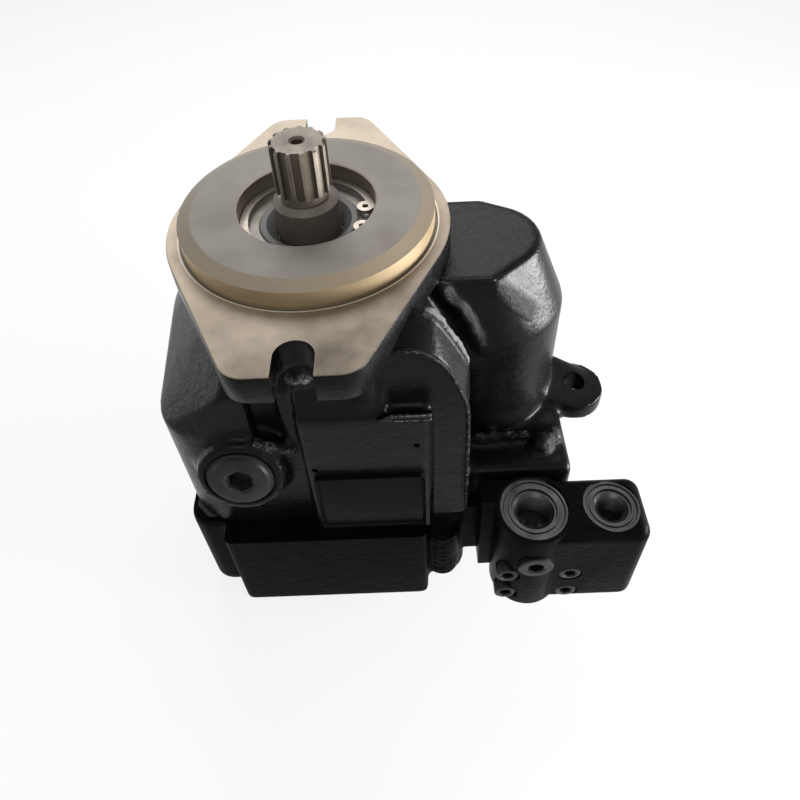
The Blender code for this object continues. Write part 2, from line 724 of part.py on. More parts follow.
def drain_frame():
    """Where the drain boss's outer face is, and how it leans."""
    location = (DRAIN_CENTRE[0], DRAIN_CENTRE[1], FLANGE_Z - DRAIN_DROP)
    return location, (math.pi / 2 - DRAIN_TILT, 0, 0)


def main_housing():
    body = housing_body()
    bulge, bridge, foot, ear, web = servo_bulge()
    location, lean = drain_frame()
    boss = rod("drain_boss", DRAIN_R, -DRAIN_ROOT, 0, ROUND, location, lean)
    join(body, bridge, bulge, foot, web, ear, boss, solver=ROBUST)

    low = JOINT_Z - 4 * CAST_EDGE
    wide = 4 * LEFT_X
    below = block("below_joint", (-wide, -wide, -wide), (wide, wide, JOINT_Z))
    cavity = rod("cavity", CAVITY_R, low, CAVITY_TOP_Z, FINE)
    seats = []
    for side in (-1, 1):
        middle = side * (RAIL_INNER_Y + RAIL_WIDTH / 2)
        half = RAIL_WIDTH / 2 + 2 * GAP
        seats.append(rod(f"seat_{side}", SEAT_R, -half, half, FINE, (0, middle, BALL_Z), ALONG_Y))
    shaft_hole = rod("shaft_hole", SHAFT_HOLE_R, BALL_Z, FLANGE_Z)
    bearing_bore = rod("bearing_bore", BEARING_R + GAP, BEARING_Z - GAP, FLANGE_Z)
    seal_bore = rod("seal_bore", SEAL_BORE_R, BEARING_TOP_Z + GAP, FLANGE_Z + 2 * PILOT_HEIGHT)
    window = block(
        "arm_window",
        (WINDOW_X, -ARM_HALF_WIDTH - WINDOW_SIDE, BALL_Z - WINDOW_BELOW),
        (SERVO_X + ARM_TIP_R + WINDOW_END, ARM_HALF_WIDTH + WINDOW_SIDE, BALL_Z + WINDOW_ABOVE),
    )
    bias_bore = rod("bias_bore", BIAS_R + GAP, BALL_Z - OVERRUN, BIAS_ROOF_Z, ROUND, (SERVO_X, 0, 0))
    servo_bore = rod("servo_bore", SERVO_R + GAP, low, BALL_Z, ROUND, (SERVO_X, 0, 0))
    cut(body, below, cavity, *seats, shaft_hole, bearing_bore, seal_bore, solver=ROBUST)
    cut(body, window, bias_bore, servo_bore, solver=ROBUST)

    for side in (-1, 1):
        far = side * (FLANGE_HALF_LENGTH + OVERRUN)
        round_end = arc(SLOT_R, 0, -side * math.pi, 10, (0, side * SLOT_HALF_SPACING))
        outline = [(SLOT_R, far), *round_end, (-SLOT_R, far)]
        slot = plate(f"slot_{side}", [outline], FLANGE_Z - 2 * FLANGE_THICKNESS, FLANGE_Z + OVERRUN)
        cut(body, slot, solver=ROBUST)
    for name, (x, y) in cap_screw_places().items():
        tip = JOINT_Z + CAP_SCREW_BITE + THREAD_ROOM
        hole = rod(f"{name}_thread", CAP_SCREW_R + GAP, low, tip, SMALL, (x, y, 0))
        cut(body, hole, solver=ROBUST)
    ear_hole = rod("ear_hole", EAR_HOLE_R, JOINT_Z, JOINT_Z + 2 * FOOT_HEIGHT, ROUND, (*EAR_CENTRE, 0))
    drain_hole = rod("drain_hole", DRAIN_THREAD_R + GAP, -DRAIN_DEPTH - GAP, OVERRUN, ROUND, location, lean)
    drain_face = rod("drain_face", DRAIN_FACE_R, -DRAIN_SINK, OVERRUN, ROUND, location, lean)
    cut(body, ear_hole, drain_hole, drain_face, solver=ROBUST)
    as_part(body, "main_housing", "black_paint")


def cap_screw_places():
    places = {}
    corners = [(x, y) for x in CAP_SCREW_X for y in (-CAP_SCREW_Y, CAP_SCREW_Y)]
    for number, corner in enumerate(corners, 1):
        places[f"end_cap_screw_{number}"] = corner
    return places


def gasket_outline():
    """The joint face between the housing and the end cap, drawn in a little from its edges."""
    left, right, depth = LEFT_X - GASKET_INSET, RIGHT_X - GASKET_INSET, HALF_DEPTH - GASKET_INSET
    corner = CAST_EDGE - GASKET_INSET
    foot_x = FOOT_X - GASKET_FOOT_INSET
    front_y, back_y = FOOT_Y[0] + GASKET_FOOT_INSET, FOOT_Y[1] - GASKET_FOOT_INSET
    return [
        (-left, corner - depth),
        (corner - left, -depth),
        (right - corner, -depth),
        (right, corner - depth),
        (right, front_y),
        (foot_x, front_y),
        (foot_x, back_y),
        (right, back_y),
        (right, depth - corner),
        (right - corner, depth),
        (corner - left, depth),
        (-left, depth - corner),
    ]


def end_cap():
    over = END_CAP_HEIGHT + 3 * CAST_EDGE
    cap = block("cap", (-LEFT_X, -HALF_DEPTH, 0), (RIGHT_X, HALF_DEPTH, over), CAST_EDGE)
    front = block("cap_front", (CAP_FRONT_X[0], -CAP_FRONT_Y, CAP_FRONT_Z), (CAP_FRONT_X[1], 0, over),
                  CAP_FRONT_EDGE)
    foot = block("cap_foot", (0, -CONTROL_PAD_Y, CAP_FOOT_Z), (FOOT_X, FOOT_Y[1], over), FOOT_EDGE)
    join(cap, front, foot, solver=ROBUST)
    wide = 4 * LEFT_X
    above = block("above_joint", (-wide, -wide, END_CAP_HEIGHT), (wide, wide, wide))
    pocket = rod("rear_pocket", REAR_BEARING_R + GAP, REAR_BEARING_Z - GAP, over)
    cut(cap, above, pocket, solver=ROBUST)
    for side, port_r in ((1, SUCTION_R), (-1, PRESSURE_R)):
        start = side * math.pi / 2 - (math.pi / 2 - KIDNEY_END)
        end = side * math.pi / 2 + (math.pi / 2 - KIDNEY_END)
        slot = plate(f"cap_kidney_{side}", [kidney(PITCH_R, KIDNEY_HALF, start, end)],
                     END_CAP_HEIGHT - KIDNEY_DEPTH, over)
        port = rod(f"port_{side}", port_r, -OVERRUN, PORT_DEPTH, ROUND, (0, side * PORT_Y, 0))
        cut(cap, slot, port, solver=ROBUST)
    for name, (x, y) in cap_screw_places().items():
        hole = rod(f"{name}_hole", CAP_SCREW_R + 2 * GAP, -OVERRUN, over, SMALL, (x, y, 0))
        sink = rod(f"{name}_sink", CAP_HEAD_R + 2 * GAP, -OVERRUN, CAP_SEAT_Z, SMALL, (x, y, 0))
        cut(cap, hole, sink, solver=ROBUST)
    for name, (x, z) in control_screw_places().items():
        depth = CONTROL_SCREW_BITE + THREAD_ROOM
        spot = (x, -CONTROL_PAD_Y, z)
        thread = rod(f"{name}_thread", CONTROL_SCREW_R + GAP, -depth, OVERRUN, SMALL, spot, ALONG_Y)
        cut(cap, thread, solver=ROBUST)
    as_part(cap, "end_cap", "black_paint")

    outlines = [
        gasket_outline(),
        circle(CAVITY_R + SHEET_CLEARANCE, FINE),
        circle(SERVO_R + SHEET_CLEARANCE, ROUND, (SERVO_X, 0)),
        *[circle(CAP_SCREW_R + SHEET_CLEARANCE, SMALL, corner) for corner in cap_screw_places().values()],
    ]
    gasket = plate("gasket", outlines, END_CAP_HEIGHT + GAP, END_CAP_HEIGHT + GAP + GASKET_THICKNESS)
    as_part(gasket, "end_cap_gasket", "gasket_paper")

    length = JOINT_Z + CAP_SCREW_BITE - CAP_SEAT_Z
    for name, (x, y) in cap_screw_places().items():
        socket_screw(name, CAP_SCREW_R, CAP_HEAD_R, CAP_HEAD_HEIGHT, length,
                     (x, y, CAP_SEAT_Z - GAP), (math.pi, 0, 0), "steel")


def drive_shaft(group):
    top = SHAFT_END_Z
    spline_low = top - SPLINE_LENGTH
    block_spline_top = BLOCK_Z + BLOCK_SPLINE_LENGTH
    shoulder_z = BEARING_Z - GAP
    core_r = SPLINE_ROOT_R - SPLINE_STEP
    inner_r = BLOCK_SPLINE_ROOT_R - SPLINE_STEP
    rear_top = REAR_BEARING_Z + REAR_BEARING_HEIGHT + GAP
    taper_z = spline_low - SPLINE_RUNOUT
    profile = [
        (0, top),
        (core_r - SHAFT_CHAMFER, top),
        (core_r, top - SHAFT_CHAMFER),
        (core_r, taper_z),
        (SEAL_JOURNAL_R, taper_z - JOURNAL_TAPER),
        (SEAL_JOURNAL_R, BEARING_TOP_Z + GAP),
        (SHAFT_R, BEARING_TOP_Z + GAP),
        (SHAFT_R, shoulder_z),
        (COLLAR_R, shoulder_z),
        (COLLAR_R, shoulder_z - COLLAR_WIDTH),
        (SHAFT_R, shoulder_z - COLLAR_WIDTH),
        (SHAFT_R, block_spline_top + EDGE_BREAK),
        (inner_r, block_spline_top),
        (inner_r, rear_top),
        (REAR_JOURNAL_R, rear_top),
        (REAR_JOURNAL_R, REAR_BEARING_Z),
        (0, REAR_BEARING_Z),
    ]
    shaft = turned("shaft", profile, ROUND)
    front_teeth = spline_outline(SPLINE_TIP_R, SPLINE_ROOT_R, 0)
    front = plate("front_spline", [front_teeth], spline_low, top - SHAFT_CHAMFER)
    inner_teeth = spline_outline(BLOCK_SPLINE_TIP_R, BLOCK_SPLINE_ROOT_R, 0)
    inner = plate("block_spline", [inner_teeth], BLOCK_Z + EDGE_BREAK, block_spline_top + EDGE_BREAK / 2)
    drilled = [
        (0, top + EDGE_BREAK),
        (CENTRE_DRILL_MOUTH_R, top + EDGE_BREAK),
        (CENTRE_DRILL_R, top - EDGE_BREAK),
        (CENTRE_DRILL_R, top - CENTRE_DRILL_DEPTH),
        (0, top - CENTRE_DRILL_DEPTH - EDGE_BREAK),
    ]
    centre = turned("centre_drill", drilled, SMALL)
    join(shaft, front, inner)
    cut(shaft, centre)
    as_part(shaft, "drive_shaft", "steel", group)


def seal_and_bearings(group):
    seal_low = BEARING_TOP_Z + 2 * GAP
    seal_high = seal_low + SEAL_HEIGHT
    outer = SEAL_BORE_R - GAP
    inner = SEAL_JOURNAL_R + GAP
    seal = turned("seal", [
        (outer, seal_high),
        (outer, seal_low),
        (inner, seal_low),
        (inner, seal_low + SEAL_LIP),
        (inner + SEAL_LIP, seal_high - SEAL_LIP),
        (inner + SEAL_DISH, seal_high),
    ])
    as_part(seal, "shaft_seal", "seal_rubber")
    ring_low = seal_high + GAP
    ring_high = ring_low + RING_HEIGHT
    start, end = RING_HALF_OPENING, TURN - RING_HALF_OPENING
    band = arc(outer, start, end, ROUND) + arc(outer - RING_WIDTH, end, start, ROUND)
    snap = plate("snap", [band], ring_low, ring_high, rotation=(0, 0, RING_TURN))
    for side in (-1, 1):
        angle = RING_TURN + side * LUG_ANGLE
        spot = ((outer - LUG_INSET) * math.cos(angle), (outer - LUG_INSET) * math.sin(angle), 0)
        lug = rod(f"lug_{side}", LUG_R, ring_low, ring_high, SMALL, spot)
        hole = rod(f"lug_hole_{side}", LUG_HOLE_R, ring_low - OVERRUN, ring_high + OVERRUN, SMALL, spot)
        join(snap, lug, solver=ROBUST)
        cut(snap, hole, solver=ROBUST)
    as_part(snap, "seal_retaining_ring", "steel")
    bearing("front", SHAFT_R, BEARING_HEIGHT, BEARING_Z, group)
    bearing("rear", REAR_JOURNAL_R, REAR_BEARING_HEIGHT, REAR_BEARING_Z, group)


def piston_angle(number):
    return TURN * (number - 1) / PISTON_COUNT


def cylinder_block(group):
    barrel = rod("barrel", BLOCK_R, BLOCK_Z, BLOCK_TOP_Z, FINE)
    for number in range(1, PISTON_COUNT + 1):
        angle = piston_angle(number)
        spot = (PITCH_R * math.cos(angle), PITCH_R * math.sin(angle), 0)
        floor_z = BLOCK_Z + BLOCK_FLOOR
        bore = rod(f"bore_{number}", PISTON_R + GAP, floor_z, BLOCK_TOP_Z + OVERRUN, SMALL, spot)
        port = rod(f"bore_port_{number}", BLOCK_PORT_R, BLOCK_Z - OVERRUN, floor_z + OVERRUN, SMALL, spot)
        cut(barrel, bore, port, solver=ROBUST)
    teeth = spline_outline(BLOCK_SPLINE_TIP_R + GAP, BLOCK_SPLINE_ROOT_R + GAP, GAP)
    spline_hole = plate("spline_hole", [teeth], BLOCK_Z - OVERRUN, BLOCK_TOP_Z + OVERRUN)
    pocket = rod("spring_pocket", SPRING_POCKET_R, BLOCK_Z + BLOCK_SPLINE_LENGTH, BLOCK_TOP_Z + OVERRUN)
    cut(barrel, spline_hole, pocket, solver=ROBUST)
    as_part(barrel, "cylinder_block", "steel", group)
    coil("block_spring", (SHAFT_R + SPRING_POCKET_R) / 2, BLOCK_WIRE_R, BLOCK_Z + BLOCK_SPLINE_LENGTH + GAP,
         BLOCK_TOP_Z - GAP, BLOCK_SPRING_TURNS, (0, 0, 0), "spring_steel", group)


def ball_guide(group):
    """A ball zone on the shaft, centred on the swash plate's axis, that presses the retainer."""
    low = BLOCK_TOP_Z + GAP - BALL_Z
    steps = 6
    start, end = math.asin(GUIDE_RISE / GUIDE_R), -math.acos(GUIDE_SLEEVE_R / GUIDE_R)
    profile = []
    for i in range(steps + 1):
        angle = start + (end - start) * i / steps
        profile.append((GUIDE_R * math.cos(angle), GUIDE_R * math.sin(angle)))
    profile += [(GUIDE_SLEEVE_R, low), (SHAFT_R + GAP, low), (SHAFT_R + GAP, GUIDE_RISE)]
    as_part(turned("guide", profile, ROUND, (0, 0, BALL_Z)), "ball_guide", "steel", group)


def pistons_and_slippers(group):
    socket_r = BALL_R + BALL_GAP
    lip = math.asin(SLIPPER_SKIRT_DROP / socket_r)
    ball_low = math.acos(NECK_R / BALL_R)
    for number in range(1, PISTON_COUNT + 1):
        angle = piston_angle(number)
        spot = (PITCH_R * math.cos(angle), PITCH_R * math.sin(angle), BALL_Z)
        ball = [(BALL_R * math.cos(a), BALL_R * math.sin(a))
                for a in (math.pi / 2, math.pi / 4, 0, -0.6 * ball_low, -ball_low)]
        ball[0] = (0, BALL_R)
        piston = turned(f"piston_{number}", ball + [
            (NECK_R, -NECK_LENGTH),
            (PISTON_R, -NECK_LENGTH - NECK_TAPER),
            (PISTON_R, -PISTON_LENGTH),
            (0, -PISTON_LENGTH),
        ], SMALL, spot)
        as_part(piston, f"piston_{number}", "steel", group)
        hollow_angles = (-lip, 0, math.pi / 6, math.pi / 3)
        hollow = [(socket_r * math.cos(a), socket_r * math.sin(a)) for a in hollow_angles]
        slipper = turned(f"slipper_{number}", [
            (0, SLIPPER_HEIGHT),
            (SLIPPER_FOOT_R, SLIPPER_HEIGHT),
            (SLIPPER_FOOT_R, SLIPPER_HEIGHT - SLIPPER_FOOT),
            (SLIPPER_SKIRT_R, SLIPPER_HEIGHT - SLIPPER_FOOT),
            (SLIPPER_SKIRT_R, -SLIPPER_SKIRT_DROP),
            *hollow,
            (0, socket_r),
        ], SMALL)
        as_part(slipper, f"slipper_{number}", "bronze", piston)


def slipper_retainer(group):
    top = SLIPPER_HEIGHT - SLIPPER_FOOT - 2 * GAP
    hole_r = SLIPPER_SKIRT_R + SLIDE_GAP
    holes = [circle(hole_r, SMALL, (PITCH_R * math.cos(piston_angle(n)), PITCH_R * math.sin(piston_angle(n))))
             for n in range(1, PISTON_COUNT + 1)]
    outlines = [circle(PITCH_R + hole_r + RETAINER_RIM, FINE), circle(GUIDE_R + 2 * GAP, ROUND), *holes]
    retainer = plate("retainer", outlines, top - RETAINER_THICKNESS, top, (0, 0, BALL_Z))
    as_part(retainer, "slipper_retainer", "steel", group)


def swash_plate():
    face = SWASH_FACE
    top = face + SWASH_THICKNESS
    pivot = (0, 0, BALL_Z)
    swash = ring("swash", SWASH_HOLE_R, SWASH_R, face, top, FINE, pivot)
    for side in (-1, 1):
        middle = (0, side * (RAIL_INNER_Y + RAIL_WIDTH / 2), BALL_Z)
        rail = rod(f"rail_{side}", CRADLE_R, -RAIL_WIDTH / 2, RAIL_WIDTH / 2, FINE, middle, ALONG_Y)
        wide = 2 * CRADLE_R
        under = block(f"under_rail_{side}", (-wide, -wide, -wide), (wide, wide, face + RAIL_ROOT), 0, pivot)
        cut(rail, under)
        join(swash, rail)
    web_end = SERVO_X - BIAS_R - ARM_STEP
    arm = block(
        "arm",
        (SWASH_R - ARM_ROOT, -ARM_HALF_WIDTH, ARM_LOW),
        (web_end, ARM_HALF_WIDTH, top - ARM_SINK),
        0,
        pivot,
    )
    slippers_r = PITCH_R + SLIPPER_SKIRT_R + SLIDE_GAP + ARM_CLEARANCE
    cut(arm, rod("arm_clear", slippers_r, -face, face, FINE, pivot))
    finger = block(
        "finger",
        (web_end - FINGER_ROOT, -FINGER_HALF_WIDTH, FINGER_Z[0]),
        (SERVO_X, FINGER_HALF_WIDTH, FINGER_Z[1]),
        0,
        pivot,
    )
    tip = rod("tip", ARM_TIP_R, -ARM_HALF_WIDTH, ARM_HALF_WIDTH, ROUND, (SERVO_X, 0, BALL_Z), ALONG_Y)
    join(swash, arm, finger, tip)
    as_part(swash, "swash_plate", "steel")

    outer = SHELL_R + SHELL_THICKNESS
    middle_up = math.pi / 2
    band = (arc(outer, middle_up - SHELL_ANGLE, middle_up + SHELL_ANGLE, 14)
            + arc(SHELL_R, middle_up + SHELL_ANGLE, middle_up - SHELL_ANGLE, 14))
    for number, side in ((1, -1), (2, 1)):
        middle = (0, side * (RAIL_INNER_Y + RAIL_WIDTH / 2), BALL_Z)
        shell = plate(f"shell_{number}", [band], -RAIL_WIDTH / 2, RAIL_WIDTH / 2, middle, ALONG_Y)
        as_part(shell, f"cradle_bearing_{number}", "bronze")


def valve_plate():
    slots = []
    for side in (-1, 1):
        middle = side * math.pi / 2
        reach = math.pi / 2 - KIDNEY_END
        slots.append(kidney(PITCH_R, KIDNEY_HALF, middle - reach, middle + reach))
    low = END_CAP_HEIGHT + GAP
    outlines = [circle(VALVE_PLATE_R, FINE), circle(VALVE_PLATE_HOLE_R, ROUND), *slots]
    as_part(plate("valve", outlines, low, low + VALVE_PLATE_THICKNESS), "valve_plate", "bronze")


def servo():
    reach = ARM_TIP_R + GAP
    servo_top = BALL_Z - reach
    servo = turned("servo", [
        (0, 0),
        (SERVO_R - EDGE_BREAK, 0),
        (SERVO_R, -EDGE_BREAK),
        (SERVO_R, -SERVO_LENGTH),
        (SERVO_R - SERVO_WALL, -SERVO_LENGTH),
        (SERVO_R - SERVO_WALL, SERVO_HOLLOW - SERVO_LENGTH),
        (0, SERVO_HOLLOW - SERVO_LENGTH),
    ], ROUND, (SERVO_X, 0, servo_top))
    as_part(servo, "servo_piston", "steel")
    bias_low = BALL_Z + reach
    bias = turned("bias", [
        (0, BIAS_HEIGHT),
        (BIAS_POST_R, BIAS_HEIGHT),
        (BIAS_POST_R, BIAS_HEIGHT - BIAS_POST),
        (BIAS_R, BIAS_HEIGHT - BIAS_POST),
        (BIAS_R, EDGE_BREAK),
        (BIAS_R - EDGE_BREAK, 0),
        (0, 0),
    ], ROUND, (SERVO_X, 0, bias_low))
    as_part(bias, "bias_piston", "steel")
    seat = bias_low + BIAS_HEIGHT - BIAS_POST + GAP
    coil("bias_spring", BIAS_R - 2 * BIAS_WIRE_R, BIAS_WIRE_R, seat, BIAS_ROOF_Z - GAP, BIAS_TURNS,
         (SERVO_X, 0, 0), "spring_steel")


def control_screw_places():
    places = {}
    corners = [(x, z) for x in CONTROL_SCREW_X for z in CONTROL_SCREW_Z]
    for number, corner in enumerate(corners, 1):
        places[f"control_screw_{number}"] = corner
    return places


def control_block():
    back_y = -CONTROL_PAD_Y - GASKET_THICKNESS - 2 * GAP
    left, right = CONTROL_X
    body = block("control", (left, -CONTROL_FRONT_Y, CONTROL_Z), (right, back_y, CONTROL_TOP_Z), CONTROL_EDGE)
    lobe = rod("lobe", LOBE_R, CONTROL_Z, CONTROL_TOP_Z, ROUND, (left, SPOOL_Y, 0))
    shoe_low = (CONTROL_PAD_X[0], SPOOL_Y, CONTROL_PAD_Z[0])
    shoe = block("shoe", shoe_low, (left, back_y, CONTROL_TOP_Z - SHOE_DROP))
    heel_high = (right - CONTROL_EDGE, back_y, CONTROL_TOP_Z - HEEL_DROP)
    heel = block("heel", (left, SPOOL_Y, CONTROL_Z), heel_high)
    join(body, lobe, shoe, heel, solver=ROBUST)
    behind = block("behind", (0, back_y, 0), (2 * right, 0, FLANGE_Z))
    cut(body, behind, solver=ROBUST)
    spool_top = CONTROL_Z + CHAMBER_DEPTH + SPOOL_LENGTH + GAP
    for index, x in enumerate(SPOOL_X):
        spot = (x, SPOOL_Y, 0)
        spotface = rod(f"spotface_{index}", PORT_SPOTFACE_R[index], CONTROL_TOP_Z - PORT_SPOTFACE,
                       CONTROL_TOP_Z + OVERRUN, ROUND, spot)
        port = rod(f"signal_port_{index}", PORT_R[index], CONTROL_TOP_Z - CONTROL_PORT_DEPTH, CONTROL_TOP_Z,
                   ROUND, spot)
        passage = rod(f"passage_{index}", PASSAGE_R, CONTROL_Z, CONTROL_TOP_Z, SMALL, spot)
        bore = rod(f"spool_bore_{index}", SPOOL_R + GAP, CONTROL_Z, spool_top, SMALL, spot)
        roof = CONTROL_Z + CHAMBER_DEPTH
        chamber = rod(f"chamber_{index}", CHAMBER_R, CONTROL_Z - OVERRUN, roof, ROUND, spot)
        cut(body, spotface, port, passage, bore, chamber, solver=ROBUST)
    for name, (x, z) in control_screw_places().items():
        far = 2 * CONTROL_FRONT_Y
        hole = rod(f"{name}_hole", CONTROL_SCREW_R + GAP, 0, far, SMALL, (x, 0, z), ALONG_Y)
        sink = rod(f"{name}_sink", CONTROL_HEAD_R + GAP, CONTROL_HEAD_Y, far, SMALL, (x, 0, z), ALONG_Y)
        cut(body, hole, sink, solver=ROBUST)
    plug_spot = (left, SPOOL_Y - LOBE_R, PLUG_Z)
    plug_face = rod("plug_face", PLUG_R + 2 * GAP, -PLUG_SINK, OVERRUN, ROUND, plug_spot, ALONG_Y)
    plug_hole = rod("plug_hole", PLUG_THREAD_R + GAP, -PLUG_DEPTH - GAP, OVERRUN, ROUND, plug_spot, ALONG_Y)
    cut(body, plug_face, plug_hole, solver=ROBUST)
    as_part(body, "control_block", "black_paint")

    plug = turned("plug", [
        (0, PLUG_HEAD),
        (PLUG_R, PLUG_HEAD),
        (PLUG_R, GAP - PLUG_SINK),
        (PLUG_THREAD_R, GAP - PLUG_SINK),
        (PLUG_THREAD_R, -PLUG_DEPTH),
        (0, -PLUG_DEPTH),
    ], ROUND, plug_spot, ALONG_Y)
    mouth = (left, SPOOL_Y - LOBE_R - PLUG_HEAD, PLUG_Z)
    cut(plug, hex_socket("plug_hex", PLUG_HEX_R, PLUG_HEX_DEPTH, mouth, ALONG_Y))
    as_part(plug, "control_plug", "black_paint")

    (x0, x1), (z0, z1) = CONTROL_PAD_X, CONTROL_PAD_Z
    gasket = block("seal_sheet", (x0, back_y + GAP, z0), (x1, back_y + GAP + GASKET_THICKNESS, z1))
    for name, (x, z) in control_screw_places().items():
        hole_r = CONTROL_SCREW_R + SHEET_CLEARANCE
        cut(gasket, rod(f"{name}_pass", hole_r, 0, 2 * CONTROL_FRONT_Y, SMALL, (x, 0, z), ALONG_Y))
    as_part(gasket, "control_gasket", "gasket_paper")
    for name, (x, z) in control_screw_places().items():
        length = CONTROL_HEAD_Y + GAP - CONTROL_PAD_Y + CONTROL_SCREW_BITE
        socket_screw(name, CONTROL_SCREW_R, CONTROL_HEAD_R, CONTROL_HEAD_HEIGHT, length,
                     (x, -CONTROL_HEAD_Y - GAP, z), ALONG_Y, "steel")


def control_spools():
    bore_low = CONTROL_Z + CHAMBER_DEPTH
    seat = CONTROL_Z + ADJUSTER_INSET
    for prefix, x in zip(("pc", "ls"), SPOOL_X):
        spot = (x, SPOOL_Y, 0)
        spool = turned(f"{prefix}_spool", [
            (0, SPOOL_LENGTH),
            (SPOOL_R, SPOOL_LENGTH),
            (SPOOL_R, 0.65 * SPOOL_LENGTH),
            (0.6 * SPOOL_R, 0.65 * SPOOL_LENGTH),
            (0.6 * SPOOL_R, 0.4 * SPOOL_LENGTH),
            (SPOOL_R, 0.4 * SPOOL_LENGTH),
            (SPOOL_R, -GAP),
            (SPOOL_BUTTON_R, -GAP),
            (SPOOL_BUTTON_R, -SPOOL_BUTTON),
            (0, -SPOOL_BUTTON),
        ], SMALL, (x, SPOOL_Y, bore_low))
        as_part(spool, f"{prefix}_spool", "steel")
        coil(f"{prefix}_spring", CONTROL_SPRING_R, CONTROL_SPRING_WIRE_R, seat + GAP,
             bore_low - SPOOL_BUTTON - GAP, CONTROL_SPRING_TURNS, spot, "spring_steel")
        adjuster = turned(f"{prefix}_plug", [
            (0, ADJUSTER_INSET),
            (CHAMBER_R - GAP, ADJUSTER_INSET),
            (CHAMBER_R - GAP, -EDGE_BREAK),
            (ADJUSTER_STEM_R, -EDGE_BREAK),
            (ADJUSTER_STEM_R, -ADJUSTER_HEX - ADJUSTER_STEM),
            (0, -ADJUSTER_HEX - ADJUSTER_STEM),
        ], ROUND, (x, SPOOL_Y, CONTROL_Z))
        nut = rod(f"{prefix}_nut", ADJUSTER_HEX_R, -GAP - ADJUSTER_HEX, -GAP, 6, (x, SPOOL_Y, CONTROL_Z))
        join(adjuster, nut)
        as_part(adjuster, f"{prefix}_adjuster", "steel")


def trim():
    location, lean = drain_frame()
    plug = turned("drain", [
        (0, DRAIN_HEAD),
        (DRAIN_PLUG_R - EDGE_BREAK, DRAIN_HEAD),
        (DRAIN_PLUG_R, DRAIN_HEAD - EDGE_BREAK),
        (DRAIN_PLUG_R, GAP - DRAIN_SINK),
        (DRAIN_THREAD_R, GAP - DRAIN_SINK),
        (DRAIN_THREAD_R, -DRAIN_DEPTH),
        (0, -DRAIN_DEPTH),
    ], ROUND, location, lean)
    outward = Vector((0, -math.cos(DRAIN_TILT), math.sin(DRAIN_TILT)))
    mouth = Vector(location) + outward * DRAIN_HEAD
    cut(plug, hex_socket("drain_hex", DRAIN_HEX_R, DRAIN_HEX_DEPTH, mouth, lean))
    as_part(plug, "drain_plug", "black_paint")
    top = FLANGE_Z - PLATE_TOP_DROP
    sheet = block("sheet", (PLATE_X[0], -PAD_Y - GAP - PLATE_THICKNESS, top - PLATE_HEIGHT),
                  (PLATE_X[1], -PAD_Y - GAP, top))
    as_part(sheet, "name_plate", "plate_black")


def shade_parts():
    for obj in PARTS.objects:
        if obj.type == "MESH":
            obj.data.shade_smooth()
            obj.data.set_sharp_from_angle(angle=math.radians(35))


def main():
    group = empty("rotating_group", (0, 0, 0))
    main_housing()
    end_cap()
    drive_shaft(group)
    seal_and_bearings(group)
    cylinder_block(group)
    ball_guide(group)
    pistons_and_slippers(group)
    slipper_retainer(group)
    swash_plate()
    valve_plate()
    servo()
    control_block()
    control_spools()
    trim()
    shade_parts()


main()
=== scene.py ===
import json
import math
import random

import bpy
from mathutils import Euler, Matrix, Vector


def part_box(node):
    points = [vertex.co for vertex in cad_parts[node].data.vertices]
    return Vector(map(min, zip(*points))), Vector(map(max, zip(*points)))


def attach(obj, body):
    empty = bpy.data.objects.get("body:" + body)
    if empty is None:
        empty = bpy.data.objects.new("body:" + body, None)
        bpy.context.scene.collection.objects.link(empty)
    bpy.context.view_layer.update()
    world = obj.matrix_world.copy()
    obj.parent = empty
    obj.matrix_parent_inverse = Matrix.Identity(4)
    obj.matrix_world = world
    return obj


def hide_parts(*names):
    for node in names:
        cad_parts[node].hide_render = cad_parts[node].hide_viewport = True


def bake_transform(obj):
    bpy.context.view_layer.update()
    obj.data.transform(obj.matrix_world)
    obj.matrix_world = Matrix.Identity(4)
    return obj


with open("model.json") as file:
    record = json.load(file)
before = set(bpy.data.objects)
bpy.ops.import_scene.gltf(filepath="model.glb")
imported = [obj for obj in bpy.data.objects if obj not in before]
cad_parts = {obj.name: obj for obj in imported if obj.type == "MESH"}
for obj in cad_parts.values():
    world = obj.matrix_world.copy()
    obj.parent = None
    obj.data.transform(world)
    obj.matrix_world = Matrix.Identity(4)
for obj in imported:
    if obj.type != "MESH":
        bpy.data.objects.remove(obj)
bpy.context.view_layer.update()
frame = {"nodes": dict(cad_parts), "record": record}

mm = 0.001
origin = (0, 0, 0)
towardFront = (math.pi / 2, 0, 0)   # turns local Z to -Y

housingLow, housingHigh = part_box("main_housing")
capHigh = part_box("end_cap")[1]
blockLow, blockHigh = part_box("control_block")
shaftLow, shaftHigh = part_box("drive_shaft")
sealLow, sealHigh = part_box("shaft_seal")
ringLow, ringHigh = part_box("seal_retaining_ring")
plateLow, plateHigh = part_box("name_plate")

pilotHeight = 9.7 * mm
flangeZ = housingHigh.z - pilotHeight
jointZ = housingLow.z


# Modelling steps used by the pieces below

def sized(**lengths):   # mm to metres
    return {
        key: tuple(part * mm for part in value) if isinstance(value, tuple) else value * mm
        for key, value in lengths.items()
    }


def clearSelection():
    if bpy.context.mode != "OBJECT":
        bpy.ops.object.mode_set(mode="OBJECT")
    bpy.ops.object.select_all(action="DESELECT")


def chosen(piece):
    clearSelection()
    piece.select_set(True)
    bpy.context.view_layer.objects.active = piece
    return piece


def named(name):
    made = bpy.context.object
    made.name = name
    made.data.name = name
    return made


def settled(piece):
    chosen(piece)
    bpy.ops.object.transform_apply(location=True, rotation=True, scale=True)
    return piece


def boxPiece(name, low, high):
    clearSelection()
    middle = [(a + b) / 2 for a, b in zip(low, high)]
    size = [b - a for a, b in zip(low, high)]
    bpy.ops.mesh.primitive_cube_add(size=1, location=middle, scale=size)
    return settled(named(name))


